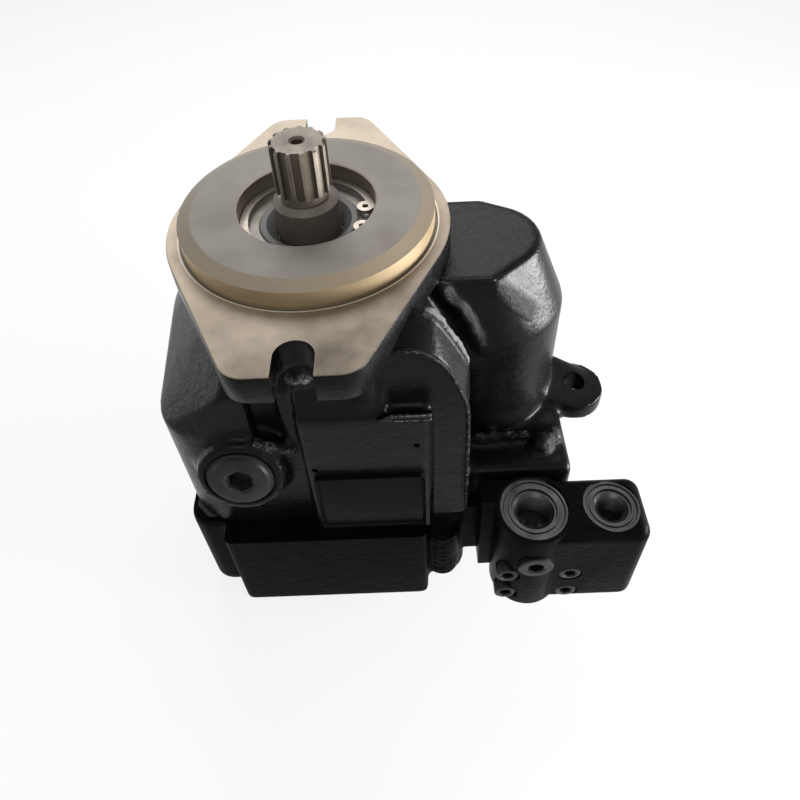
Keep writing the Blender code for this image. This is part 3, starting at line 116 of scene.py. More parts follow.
def slab(name, level, side):   # to cut off all that lies above or below a level
    reach = 300 * mm
    low, high = sorted((level, level + side * 200 * mm))
    return boxPiece(name, (-reach, -reach, low), (reach, reach, high))


def rodPiece(name, radius, base, height, turn=origin, steps=64):
    clearSelection()
    along = Euler(turn).to_matrix() @ Vector((0, 0, 1))
    bpy.ops.mesh.primitive_cone_add(
        vertices=steps,
        radius1=radius,
        radius2=radius,
        depth=height,
        location=Vector(base) + along * height / 2,
        rotation=turn,
    )
    return settled(named(name))


def turnedPiece(name, rings, steps=96, place=origin, turn=origin, hollow=False):
    clearSelection()
    radius, level = rings[0]
    fill = "NOTHING" if hollow else "NGON"
    bpy.ops.mesh.primitive_circle_add(vertices=steps, radius=radius, fill_type=fill, location=(0, 0, level))
    made = settled(named(name))
    bpy.ops.object.mode_set(mode="EDIT")
    bpy.ops.mesh.select_all(action="SELECT")
    for nextRadius, nextLevel in rings[1:] + (rings[:1] if hollow else []):
        bpy.ops.mesh.extrude_region_move(TRANSFORM_OT_translate={"value": (0, 0, nextLevel - level)})
        share = nextRadius / radius
        bpy.ops.transform.resize(value=(share, share, 1), center_override=origin)
        radius, level = nextRadius, nextLevel
    bpy.ops.mesh.select_all(action="SELECT")
    bpy.ops.mesh.remove_doubles(threshold=0.001 * mm)
    bpy.ops.mesh.normals_make_consistent(inside=False)
    bpy.ops.object.mode_set(mode="OBJECT")
    made.location = place
    made.rotation_euler = turn
    return settled(made)


def edited(piece, *steps):
    chosen(piece)
    bpy.ops.object.mode_set(mode="EDIT")
    for step, settings in steps:
        bpy.ops.mesh.select_all(action="SELECT")
        step(**settings)
    bpy.ops.object.mode_set(mode="OBJECT")
    return piece


def sliced(piece, point, normal):
    settings = {"plane_co": point, "plane_no": normal, "use_fill": True, "clear_outer": True}
    return edited(piece, (bpy.ops.mesh.bisect, settings))


def edgesRounded(piece, width, segments, pick):   # only the edges that pick chooses by their two ends
    edited(piece, (bpy.ops.mesh.select_all, {"action": "DESELECT"}))
    for edge in piece.data.edges:
        edge.select = pick(*[piece.data.vertices[index].co for index in edge.vertices])
    bpy.ops.object.mode_set(mode="EDIT")
    bpy.ops.mesh.select_mode(type="EDGE")
    bpy.ops.mesh.bevel(offset=width, segments=segments)
    bpy.ops.object.mode_set(mode="OBJECT")
    return piece


def modified(piece, kind, **settings):
    chosen(piece)
    step = piece.modifiers.new(kind.lower(), kind)
    for key, value in settings.items():
        setattr(step, key, value)
    bpy.ops.object.modifier_apply(modifier=step.name)
    return piece


def rounded(piece, width, segments=3, angle=50):
    return modified(
        piece,
        "BEVEL",
        width=width,
        segments=segments,
        limit_method="ANGLE",
        angle_limit=math.radians(angle),
    )


def combined(piece, operation, *others):
    for other in others:
        modified(piece, "BOOLEAN", operation=operation, solver="MANIFOLD", object=other)
        bpy.data.objects.remove(other)
    return piece


def copied(piece, name, matrix):
    made = piece.copy()
    made.data = piece.data.copy()
    made.name = name
    bpy.context.collection.objects.link(made)
    made.matrix_world = matrix @ piece.matrix_world
    return settled(made)


def joined(name, pieces):
    clearSelection()
    for piece in pieces:
        piece.select_set(True)
    bpy.context.view_layer.objects.active = pieces[0]
    bpy.ops.object.join()
    return named(name)


def hulled(name, pieces):
    flat = {"angle_limit": math.radians(0.3)}
    made = joined(name, pieces)
    return edited(made, (bpy.ops.mesh.convex_hull, {}), (bpy.ops.mesh.dissolve_limited, flat))


def dots(spots):
    half = Vector((0.1, 0.1, 0.1)) * mm
    return [boxPiece("dot", atFlange(spot) - half, atFlange(spot) + half) for spot in spots]


def bead(name, points, radius, unevenness, seed):
    dice = random.Random(seed)
    clearSelection()
    bpy.ops.mesh.primitive_ico_sphere_add(subdivisions=2, radius=radius)
    model = named(name)
    grains = []
    for start, end in zip(points, points[1:]):
        count = max(2, int((end - start).length / (0.7 * radius)))
        for number in range(count):
            shift = Vector([dice.uniform(-unevenness, unevenness) for axis in range(3)]) * radius
            size = 1 + dice.uniform(-unevenness, unevenness)
            spot = start.lerp(end, number / count) + shift
            grains.append(copied(model, name, Matrix.LocRotScale(spot, None, Vector([size] * 3))))
    bpy.data.objects.remove(model)
    return grains


def curved(points, steps):
    ends = [2 * points[0] - points[1], *points, 2 * points[-1] - points[-2]]
    made = []
    for before, start, end, after in zip(ends, ends[1:], ends[2:], ends[3:]):
        for number in range(steps):
            t = number / steps
            middle = (end - before) * t + (2 * before - 5 * start + 4 * end - after) * t ** 2
            made.append(start + (middle + (3 * start - before - 3 * end + after) * t ** 3) / 2)
    return made + [points[-1]]


def welt(name, points, radius, grain):
    return castSkin(joined(name, bead(name, points, radius, 0.0, 0)), grain, 2)


def castSkin(piece, grain, rounds):
    modified(piece, "REMESH", mode="VOXEL", voxel_size=grain)
    return modified(piece, "SMOOTH", factor=0.5, iterations=rounds)


def smoothShaded(piece, angle=32):
    chosen(piece)
    bpy.ops.object.shade_smooth_by_angle(angle=math.radians(angle))
    return piece


def finished(piece, body, nodes, finishes, choose=None, stretch=None):
    piece.data.materials.clear()
    for finish in finishes:
        piece.data.materials.append(finish.material)
    for face in piece.data.polygons:
        corners = [piece.data.vertices[index].co for index in face.vertices]
        outermost = max(corners, key=lambda corner: corner.xy.length)
        face.material_index = choose(outermost.lerp(face.center, 0.02), face.normal) if choose else 0
    smoothShaded(piece)
    level = 0.9999
    for face in piece.data.polygons:
        if abs(face.normal.z) > level:
            face.use_smooth = False
    if stretch:
        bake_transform(piece)
    else:
        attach(piece, body)
    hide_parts(*nodes)
    return piece


# Materials

class Wire:
    def __init__(self, finish, socket):
        self.finish = finish
        self.socket = socket

    def __add__(self, other):
        return self.finish.math("ADD", self, other)

    def __radd__(self, other):
        return self.finish.math("ADD", other, self)

    def __sub__(self, other):
        return self.finish.math("SUBTRACT", self, other)

    def __rsub__(self, other):
        return self.finish.math("SUBTRACT", other, self)

    def __mul__(self, other):
        return self.finish.math("MULTIPLY", self, other)

    def __pow__(self, other):
        return self.finish.math("POWER", self, other)


class Finish:
    def __init__(self, owner, shader="Principled BSDF"):
        owner.use_nodes = True
        self.material = owner
        self.nodes = owner.node_tree.nodes
        self.links = owner.node_tree.links
        self.shader = self.nodes[shader]

    def feed(self, socket, value):
        if isinstance(value, Wire):
            self.links.new(value.socket, socket)
        else:
            socket.default_value = value

    def node(self, kind, settings, inputs, output=0):
        made = self.nodes.new(kind)
        for key, value in settings.items():
            setattr(made, key, value)
        for key, value in inputs.items():
            self.feed(made.inputs[key], value)
        return Wire(self, made.outputs[output])

    def math(self, operation, *values):
        return self.node("ShaderNodeMath", {"operation": operation}, dict(enumerate(values)))

    def vector(self, operation, *values, output=0):
        return self.node("ShaderNodeVectorMath", {"operation": operation}, dict(enumerate(values)), output)

    def noise(self, scale, detail=3.0, rough=0.55):
        inputs = {"Vector": self.place, "Scale": scale, "Detail": detail, "Roughness": rough}
        return self.node("ShaderNodeTexNoise", {}, inputs)

    def ramp(self, value, low, high):
        return self.node("ShaderNodeMapRange", {}, {"Value": value, "From Min": low, "From Max": high})

    def mix(self, share, first, second):
        inputs = {0: share, 6: first, 7: second}
        return self.node("ShaderNodeMix", {"data_type": "RGBA"}, inputs, 2)

    def axes(self):
        split = self.node("ShaderNodeSeparateXYZ", {}, {"Vector": self.place})
        return [Wire(self, socket) for socket in split.socket.node.outputs]

    def radius(self):
        x, y, z = self.axes()
        return (x ** 2.0 + y ** 2.0) ** 0.5

    def nearLine(self, start, end, reach):
        along = Vector(end) - Vector(start)
        offset = self.vector("SUBTRACT", self.place, Vector(start))
        share = self.vector("DOT_PRODUCT", offset, along / along.length_squared, output="Value")
        held = self.node("ShaderNodeClamp", {}, {"Value": share})
        foot = self.node("ShaderNodeVectorMath", {"operation": "SCALE"}, {0: along, "Scale": held})
        away = self.vector("DISTANCE", offset, foot, output="Value")
        return 1.0 - self.ramp(away, 0.35 * reach, reach)

    def give(self, **values):
        for key, value in values.items():
            self.feed(self.shader.inputs[key.replace("_", " ")], value)
        return self

    def raised(self, height, distance, strength=1.0):
        inputs = {"Strength": strength, "Distance": distance, "Height": height}
        return self.give(Normal=self.node("ShaderNodeBump", {}, inputs))

    def behind(self, kind, strength, share, output):   # the pale background, for these kinds of ray only
        path = self.node("ShaderNodeLightPath", {}, {}).socket.node
        camera, glossy, through = [Wire(self, path.outputs[f"Is {ray} Ray"]) for ray in shownTo]
        glow = self.node(kind, {}, {"Color": colour(1, 1, 1), "Strength": strength})
        surface = Wire(self, self.shader.outputs[0])
        inputs = {0: (camera + glossy + through) * share, 1: surface, 2: glow}
        self.feed(self.nodes[output].inputs["Surface"], self.node("ShaderNodeMixShader", {}, inputs))


shownTo = ("Camera", "Glossy", "Transmission")


def newFinish(name):
    made = Finish(bpy.data.materials.new(name))
    made.place = made.node("ShaderNodeTexCoord", {}, {}, "Object")
    return made


def colour(red, green, blue):
    return (red, green, blue, 1.0)


# Places in mm from the flange face: the arch's two outlines, then the rough cast lines, with the reach and
# the weight of each; along the rough lines the black paint gets bumps and a painted highlight
archLine = [(34, -12), (40, -12.6), (45.4, -15.5), (51.5, -23.1), (56.5, -34.9), (59.8, -47.4), (60.5, -67),
            (60.8, -97), (61, -122)]
archBack = [(38, -5.5), (46, -7), (50, -12.5), (54, -20), (58, -28.5), (61.5, -38), (62, -60), (62, -122)]
roughLines = {
    "archWelt": (1.7, 0.8, [(x, -62.4, z) for x, z in archLine]),
    "neckBead": (4, 1.15, [(46, -46, -7), (50, -46, -12.5), (54, -46, -20), (58, -46, -28.5),
                           (61, -46, -36.5)]),
    "flangeFoot": (3, 0.9, [(34, -55, -13.5), (38, -52, -11), (45, -47, -8)]),
    "bulgeFillet": (5, 0.65, [(50, -28, -13), (60, -29, -27), (70, -31, -48)]),
    "bulgeEdge": (1.8, 0.9, [(48, -26.8, -12), (72, -26.8, -12)]),
    "bulgeGrain": (6, 0.45, [(76, -27, -18), (90, -24, -32)]),
    "padLip": (1.6, 0.9, [(25, -69, -41), (31, -69, -40), (45.5, -69, -40), (45.5, -69, -43.5),
                          (32, -69, -43.5)]),
    "bossFillet": (6, 0.9, [(-24, -64, -62), (-12, -63, -68)]),
    "footFillet": (5, 0.8, [(66, -36, -102), (92, -36, -102)]),
    "footLump": (8, 0.9, [(97, -41, -104), (105, -34, -104)]),
    "slotFoot": (5, 1.0, [(-6, -61.5, -25), (0, -61.5, -25)]),
}


def atFlange(spot):
    x, y, z = spot
    return Vector((x * mm, y * mm, flangeZ + z * mm))


def paintFinish(name, tone, gloss, pebble, shine, roughSpots=False):
    made = newFinish(name)
    lumps = made.noise(150.0, 2.0)
    grain = made.noise(620.0, 4.0, 0.6)
    fine = made.noise(2400.0, 2.0)
    height = lumps * 0.9 + grain * pebble + fine * 0.10
    shade = made.ramp(made.noise(70.0, 4.0), 0.35, 0.7)
    base = made.mix(shade, colour(*[0.75 * part for part in tone]), colour(*[1.3 * part for part in tone]))
    dullness = gloss + grain * 0.18
    if roughSpots:
        crumbs = made.noise(480.0, 5.0, 0.75)
        rough = 0.0
        for reach, weight, line in roughLines.values():
            for start, end in zip(line, line[1:]):
                spot = made.nearLine(atFlange(start), atFlange(end), reach * mm)
                rough = made.math("MAXIMUM", rough, spot * weight)
        height = height + crumbs * rough * 3.2
        # painted highlight: along the rough cast lines, grains of the black paint are lightened to grey as
        # if they catch the light
        paintedHighlight = made.ramp(crumbs * rough, 0.40, 0.58)
        base = made.mix(paintedHighlight * 0.7, base, colour(0.20, 0.198, 0.20))
        dullness = dullness - rough * 0.04
    made.give(Base_Color=base, Roughness=dullness, Specular_IOR_Level=shine)
    return made.raised(height, 0.45 * mm, 0.85)


def ironFinish(name, light, dark, metal, dullness):
    made = newFinish(name)
    away = made.radius()
    blotch = made.ramp(made.noise(38.0, 5.0, 0.6), 0.38, 0.68)
    x, y, z = made.axes()
    # painted light and shade by side: towards the front right the colour moves from the first tone to the
    # second, painted shade on most irons and a painted golden highlight on the chamfer; random blotches are
    # mixed in
    paintedSideLight = made.ramp(x - y, -10 * mm, 85 * mm)
    base = made.mix(blotch * 0.25 + paintedSideLight * 0.75, colour(*light), colour(*dark))
    # painted shade: a darker ring on the flange top round the foot of the pilot
    foot = 1.0 - made.ramp(away, 51 * mm, 56 * mm)
    outside = made.ramp(away, 50.9 * mm, 51.0 * mm)
    low = 1.0 - made.ramp(z, flangeZ + 0.05 * mm, flangeZ + 0.3 * mm)
    base = made.mix(foot * outside * low * 0.3, base, colour(*[0.45 * part for part in dark]))
    # painted highlight: a thin pale ring on the flange top at the outer edge of the pilot groove
    line = made.ramp(away, 51.9 * mm, 52.1 * mm) * (1.0 - made.ramp(away, 52.4 * mm, 52.6 * mm))
    base = made.mix(line * low * 0.8, base, colour(0.72, 0.64, 0.50))
    wobble = made.noise(90.0, 2.0) * 0.6
    rings = made.math("SINE", away * (2 * math.pi / (0.55 * mm)) + wobble)
    scratches = made.noise(1500.0, 2.0)
    made.give(Base_Color=base, Metallic=metal, Roughness=dullness + blotch * 0.1 + rings * 0.02)
    return made.raised(rings * 0.5 + scratches * 0.8, 0.02 * mm, 0.5)


def steelFinish(name, light, dark, metal, dullness):
    made = newFinish(name)
    blotch = made.ramp(made.noise(120.0, 4.0), 0.35, 0.7)
    base = made.mix(blotch, colour(*light), colour(*dark))
    scratches = made.noise(900.0, 3.0)
    made.give(Base_Color=base, Metallic=metal, Roughness=dullness + blotch * 0.08 + scratches * 0.06)
    return made.raised(scratches, 0.03 * mm, 0.4)


def splineFinish(name):
    made = newFinish(name)
    away = made.radius()
    tooth = made.ramp(away, 9.4 * mm, 10.7 * mm)
    x, y, z = made.axes()
    above = made.ramp(z, flangeZ + 15.5 * mm, flangeZ + 16 * mm)
    blotch = made.ramp(made.noise(160.0, 4.0), 0.35, 0.7)
    steel = made.mix(blotch, colour(0.135, 0.115, 0.094), colour(0.09, 0.075, 0.06))
    # painted shade: the gaps between the spline teeth are coloured darker than the teeth
    gap = made.mix(blotch, colour(0.09, 0.072, 0.052), colour(0.065, 0.051, 0.036))
    face = made.ramp(z, shaftHigh.z - 0.35 * mm, shaftHigh.z - 0.15 * mm)
    share = made.math("MAXIMUM", made.math("MAXIMUM", tooth, 1.0 - above), face)
    rings = made.math("SINE", z * (2 * math.pi / (0.4 * mm)))
    made.give(Base_Color=made.mix(share, gap, steel), Metallic=0.35, Roughness=0.42 + blotch * 0.12)
    return made.raised(rings * 0.4 + made.noise(1400.0, 2.0), 0.02 * mm, 0.4)


def softFinish(name, tone, dullness, grain):
    made = newFinish(name)
    speck = made.noise(grain, 3.0)
    base = made.mix(speck, colour(*[0.7 * part for part in tone]), colour(*[1.4 * part for part in tone]))
    made.give(Base_Color=base, Roughness=dullness + speck * 0.1)
    return made.raised(speck, 0.05 * mm, 0.5)


def glossFinish(name):
    made = newFinish(name)
    speck = made.noise(300.0, 4.0)
    base = made.mix(speck, colour(0.003, 0.003, 0.0035), colour(0.006, 0.006, 0.007))
    made.give(Base_Color=base, Roughness=0.16 + speck * 0.08, Specular_IOR_Level=0.02)
    return made.raised(made.noise(90.0, 2.0), 0.03 * mm, 0.3)


print("materials")
castPaint = paintFinish("castPaint", (0.0042, 0.0039, 0.0044), 0.18, 0.36, 0.07, True)
# capPaint: the housing's black paint made darker, as painted shade on the end cap
capPaint = paintFinish("capPaint", (0.0030, 0.0028, 0.0032), 0.30, 0.40, 0.01)
# blockPaint: the housing's black paint made a little darker, as painted shade on the control block
blockPaint = paintFinish("blockPaint", (0.0036, 0.0034, 0.0038), 0.22, 0.30, 0.01)
plugPaint = paintFinish("plugPaint", (0.021, 0.020, 0.021), 0.30, 0.15, 0.08)
flangeIron = ironFinish("flangeIron", (0.45, 0.375, 0.29), (0.055, 0.038, 0.02), 0.2, 0.46)
faceIron = ironFinish("faceIron", (0.118, 0.105, 0.092), (0.094, 0.080, 0.066), 0.2, 0.46)
# pilotIron, the pilot's sides: the same machined iron as the flange top, coloured golden brown as a painted
# reflection
pilotIron = ironFinish("pilotIron", (0.43, 0.33, 0.21), (0.30, 0.222, 0.132), 0.6, 0.34)
# edgeIron, the pilot's chamfer: the same machined iron, coloured lighter than the pilot top as a painted
# highlight
edgeIron = ironFinish("edgeIron", (0.19, 0.16, 0.125), (0.25, 0.20, 0.13), 0.45, 0.32)
boreIron = ironFinish("boreIron", (0.20, 0.17, 0.14), (0.11, 0.09, 0.07), 0.7, 0.4)
splineSteel = splineFinish("splineSteel")
turnedSteel = steelFinish("turnedSteel", (0.46, 0.42, 0.36), (0.36, 0.32, 0.27), 0.9, 0.28)
ringSteel = steelFinish("ringSteel", (0.30, 0.27, 0.24), (0.17, 0.15, 0.13), 0.85, 0.36)
blackSteel = steelFinish("blackSteel", (0.020, 0.020, 0.022), (0.011, 0.011, 0.012), 0.8, 0.34)
portSteel = steelFinish("portSteel", (0.050, 0.048, 0.048), (0.028, 0.027, 0.027), 0.8, 0.3)
springSteel = steelFinish("springSteel", (0.20, 0.20, 0.21), (0.13, 0.13, 0.14), 0.9, 0.3)
bronzeMetal = steelFinish("bronzeMetal", (0.55, 0.38, 0.16), (0.44, 0.29, 0.11), 0.9, 0.32)
sealRubber = softFinish("sealRubber", (0.05, 0.049, 0.047), 0.5, 900.0)
sealCase = steelFinish("sealCase", (0.20, 0.185, 0.165), (0.13, 0.118, 0.10), 0.4, 0.42)
gasketSheet = softFinish("gasketSheet", (0.020, 0.021, 0.020), 0.7, 1600.0)
plateGloss = glossFinish("plateGloss")


# Housing

print("housing")
body = sized(
    leftX=68, rightX=62, halfDepth=62, edge=9, neckR=47, neckZ=(-17, -12), under=6, recessEdge=3,
    grain=1.3,
) | {
    "corners": [(-1, -1, 24, -60), (-1, 1, 24, -58), (1, 1, 12, -58), (1, -1, 7, -62)],
    "belly": (-6, 58, -46, -38),
    "arch": [(44, -44, -21), (52, -44, -35), (58, -44, -52)],
    "brow": [(-34, -61, -36), (30, -61, -26)],
    "recess": [(-26, -70, -66), (-13, -56, -34)],
}
castLow = jointZ - body["under"]
shell = dots(body["arch"] + body["brow"])
for sideX, sideY, cornerR, top in body["corners"]:
    reachX = body["rightX"] if sideX > 0 else body["leftX"]
    spot = (
        sideX * (reachX - cornerR * mm),
        sideY * (body["halfDepth"] - cornerR * mm),
        castLow,
    )
    shell.append(rodPiece("bodyCorner", cornerR * mm, spot, flangeZ + top * mm - castLow, steps=72))
neckLow, neckHigh = body["neckZ"]
shell.append(rodPiece("bodyNeck", body["neckR"], (0, 0, flangeZ + neckLow), neckHigh - neckLow, steps=96))
bellyX, bellyR, bellyLow, bellyHigh = [part * mm for part in body["belly"]]
shell.append(rodPiece("bodyBelly", bellyR, (bellyX, 0, flangeZ + bellyLow), bellyHigh - bellyLow, steps=96))
torso = hulled("torso", shell)
low, high = [atFlange(corner) for corner in body["recess"]]
combined(torso, "DIFFERENCE", rounded(boxPiece("recess", low, high), body["recessEdge"]))
castParts = [torso]

panel = {
    "front": -62,
    "back": -46,
    "left": 20,
    "under": -128,
    "weltR": 1.05 * mm,
    "brow": [(x, y, z) for x in (-6, 28) for y, z in ((-66.6, -40.4), (-58, -14), (-50, -14), (-50, -44))],
    "rib": [(20, -63, -12), (24, -63, -12), (19, -67, -41), (23, -67, -41), (20, -56, -12), (22, -56, -44)],
}
sheet = []
for outline, y, top in ((archLine, panel["front"], -12), (archBack, panel["back"], -6)):
    sheet += [(x, y, z) for x, z in curved([Vector(spot) for spot in outline], 5)]
    sheet += [(61, y, panel["under"]), (panel["left"], y, panel["under"]), (panel["left"], y, top)]
castParts.append(hulled("panel", dots(sheet)))
castParts.append(hulled("brow", dots(panel["brow"])))
castParts.append(hulled("rib", dots(panel["rib"])))

pad = sized(
    x=(-6.5, 45), y=-68, top=-42, edge=1.6, pinR=1.4,
) | {
    "lip": [(25, -69, -42.5), (31, -69, -40), (45.5, -69, -40), (45.5, -69, -43.5), (30, -69, -43.5),
            (25, -67, -42.5), (31, -67, -40), (45.5, -67, -40), (45.5, -67, -43.5), (30, -67, -43.5)],
    "pins": [(-2.5, -76), (39.5, -61)],
}
padBox = boxPiece(
    "pad",
    (pad["x"][0], pad["y"], castLow),
    (pad["x"][1], -40 * mm, flangeZ + pad["top"]),
)
castParts.append(rounded(padBox, pad["edge"]))

servo = sized(
    spot=(74, 2), r=33.5, topR=20.5, top=-12, shoulder=-45,
) | {
    "bridge": [(24, -26.5), (72, -26.5), (24, 26), (72, 26)],
    "bridgeFoot": -60,
}
topZ = flangeZ + servo["top"]
servoX, servoY = servo["spot"]
shoulderZ = flangeZ + servo["shoulder"]
bridgeZ = (servo["top"] / mm - 0.1, servo["bridgeFoot"])
crown = dots([(x, y, z) for x, y in servo["bridge"] for z in bridgeZ])
crown.append(rodPiece("crownTop", servo["topR"], (servoX, servoY, topZ - 1 * mm), 1 * mm, steps=96))
crown.append(rodPiece("crownFoot", servo["r"], (servoX, servoY, shoulderZ - 15 * mm), 15 * mm, steps=96))
castParts.append(hulled("bulgeCrown", crown))
bulgeRise = shoulderZ - castLow - 2 * mm
castParts.append(rodPiece("bulge", servo["r"], (servoX, servoY, castLow), bulgeRise, steps=96))

foot = sized(
    x=110, y=(-54, 40), rise=19.4, edge=4, ear=(119, -6), earR=14.5, earZ=(76, 86), earHoleR=5.5,
) | {
    "gusset": [(98, -22, -112), (98, 14, -112), (100, -16, -97), (100, 12, -94)],
}
footTop = jointZ + foot["rise"]
footBox = boxPiece("foot", (0, foot["y"][0], castLow), (foot["x"], foot["y"][1], footTop))
castParts.append(rounded(footBox, foot["edge"]))
earX, earY = foot["ear"]
earLow, earHigh = foot["earZ"]
earRise = earHigh - earLow
castParts.append(rodPiece("ear", foot["earR"], (earX, earY, earLow), earRise, steps=72))
tipR = foot["earR"] - 2 * mm
gusset = rodPiece("earTip", tipR, (earX, earY, earLow + 1 * mm), earRise - 1.5 * mm, steps=72)
castParts.append(hulled("earWeb", [gusset, *dots(foot["gusset"])]))

drain = sized(
    r=18, rootR=21, root=20, faceR=14.5, sink=1, threadR=10.3, depth=12.3,
) | {
    "spot": (-33 * mm, -70 * mm, flangeZ - 77 * mm),
    "turn": (math.pi / 2 - math.radians(12), 0, 0),
}
castParts.append(turnedPiece(
    "drainBoss",
    [
        (drain["rootR"], -drain["root"]),
        (drain["rootR"], -9 * mm),
        (drain["r"], -5 * mm),
        (drain["r"], -1 * mm),
        (drain["r"] - 1 * mm, 0),
    ], 72, drain["spot"], drain["turn"]))

beads = {
    "neckBead": (1.4 * mm, 0.2),
    "flangeFoot": (1.2 * mm, 0.4),
    "bulgeFillet": (1.9 * mm, 0.4),
    "bossFillet": (2.4 * mm, 0.4),
    "footFillet": (2.2 * mm, 0.3),
    "footLump": (4.2 * mm, 0.35),
    "slotFoot": (2.6 * mm, 0.4),
}
for seed, (name, (radius, unevenness)) in enumerate(beads.items()):
    line = [atFlange(spot) for spot in roughLines[name][2]]
    castParts.extend(bead(name, line, radius, unevenness, seed))

castHousing = joined("castHousing", castParts)
castSkin(castHousing, body["grain"], 5)
archEdge = curved([atFlange((x, panel["front"] + 0.6, z)) for x, z in archLine], 6)
combined(castHousing, "UNION", welt("archWelt", archEdge, panel["weltR"], 0.4 * mm))
combined(castHousing, "UNION", rounded(hulled("padLip", dots(pad["lip"])), 0.5 * mm, 2))
print("casting faces", len(castHousing.data.polygons))

flange = sized(
    sideR=57, endHalf=26, halfLength=82, cornerR=10.5, thickness=12.7, slotY=73, slotR=7.15,
    slotDrop=30, slotRise=10, slotReach=30, pilotR=50.8, chamfer=5.2, chamferDrop=2.1, edge=0.5,
)
flangeLow = flangeZ - flange["thickness"]
discs = [rodPiece("flangeDisc", flange["sideR"], (0, 0, flangeLow), flange["thickness"], steps=160)]
for sideX in (-1, 1):
    for sideY in (-1, 1):
        spot = (
            sideX * (flange["endHalf"] - flange["cornerR"]),
            sideY * (flange["halfLength"] - flange["cornerR"]),
            flangeLow,
        )
        discs.append(rodPiece("flangeCorner", flange["cornerR"], spot, flange["thickness"], steps=64))
flangePlate = hulled("flangePlate", discs)
rounded(flangePlate, flange["edge"], 2, 60)
slotLow = flangeZ - flange["slotDrop"]
slotHigh = flangeZ + flange["slotRise"]
for side in (-1, 1):
    slotY = side * flange["slotY"]
    hole = rodPiece("slotEnd", flange["slotR"], (0, slotY, slotLow), slotHigh - slotLow, steps=64)
    outer = sorted((slotY, slotY + side * flange["slotReach"]))
    mouth = boxPiece(
        "slotMouth",
        (-flange["slotR"], outer[0], slotLow),
        (flange["slotR"], outer[1], slotHigh),
    )
    combined(flangePlate, "DIFFERENCE", hole, mouth)
groove = turnedPiece(
    "pilotGroove",
    [
        (flange["pilotR"] - 0.5 * mm, flangeZ - 0.35 * mm),
        (flange["pilotR"] + 0.9 * mm, flangeZ - 0.35 * mm),
        (flange["pilotR"] + 1.3 * mm, flangeZ + 2 * mm),
        (flange["pilotR"] - 0.5 * mm, flangeZ + 2 * mm),
    ],
    192,
    hollow=True,
)
combined(flangePlate, "DIFFERENCE", groove)
pilot = turnedPiece(
    "pilot",
    [
        (flange["pilotR"], flangeZ - 5 * mm),
        (flange["pilotR"], housingHigh.z - flange["chamferDrop"]),
        (flange["pilotR"] - flange["chamfer"], housingHigh.z),
    ],
    192,
)
combined(castHousing, "UNION", flangePlate, pilot)

inside = sized(
    ballZ=127.978, cavityR=52, cavityTop=157.978, seatR=40.5, seatY=31.5, seatHalf=6.1, shaftHoleR=17.5,
    bearingR=26.3, bearingZ=169.178, sealR=27.5, sealZ=183.778, servoX=74, biasR=11.8,
    biasZ=(122.978, 171.878), servoR=12.8, screwX=(-54, 49), screwY=49, screwR=6.3, screwTop=98.6,
) | {
    "window": ((38, -10, 91.978), (86, 10, 146.978)),
}
below = slab("belowJoint", jointZ, -1)
cutLow = castLow - 0.01
cavity = rodPiece("cavity", inside["cavityR"], (0, 0, cutLow), inside["cavityTop"] - cutLow, steps=96)
combined(castHousing, "DIFFERENCE", below, cavity)
for side in (-1, 1):
    start = (0, side * inside["seatY"] + inside["seatHalf"], inside["ballZ"])
    seat = rodPiece("cradleSeat", inside["seatR"], start, 2 * inside["seatHalf"], towardFront, 96)
    combined(castHousing, "DIFFERENCE", seat)
bore = turnedPiece(
    "shaftBore",
    [
        (inside["shaftHoleR"], inside["ballZ"]),
        (inside["shaftHoleR"], inside["bearingZ"]),
        (inside["bearingR"], inside["bearingZ"]),
        (inside["bearingR"], inside["sealZ"]),
        (inside["sealR"], inside["sealZ"]),
        (inside["sealR"], housingHigh.z - 0.5 * mm),
        (inside["sealR"] + 0.5 * mm, housingHigh.z),
        (inside["sealR"] + 0.5 * mm, housingHigh.z + 5 * mm),
    ],
    160,
)
windowLow, windowHigh = [[part * mm for part in corner] for corner in inside["window"]]
window = boxPiece("armWindow", windowLow, windowHigh)
biasLow, biasHigh = inside["biasZ"]
biasBore = rodPiece("biasBore", inside["biasR"], (inside["servoX"], 0, biasLow), biasHigh - biasLow)
servoBore = rodPiece("servoBore", inside["servoR"], (inside["servoX"], 0, cutLow), inside["ballZ"] - cutLow)
combined(castHousing, "DIFFERENCE", bore, window, biasBore, servoBore)
for x in inside["screwX"]:
    for y in (-inside["screwY"], inside["screwY"]):
        hole = rodPiece("capThread", inside["screwR"], (x, y, cutLow), inside["screwTop"] - cutLow)
        combined(castHousing, "DIFFERENCE", hole)
earHole = rodPiece("earHole", foot["earHoleR"], (earX, earY, jointZ - 0.01), 0.05, steps=48)
drainCut = turnedPiece(
    "drainCut",
    [
        (drain["threadR"], -drain["depth"]),
        (drain["threadR"], -drain["sink"]),
        (drain["faceR"], -drain["sink"]),
        (drain["faceR"], -0.4 * mm),
        (drain["faceR"] + 0.6 * mm, 0.4 * mm),
        (drain["faceR"] + 0.6 * mm, 8 * mm),
    ], 72, drain["spot"], drain["turn"])
combined(castHousing, "DIFFERENCE", earHole, drainCut)
for x, z in pad["pins"]:
    pin = rodPiece("pinHole", pad["pinR"], (x * mm, -60 * mm, flangeZ + z * mm), 12 * mm, towardFront, 24)
    combined(castHousing, "DIFFERENCE", pin)


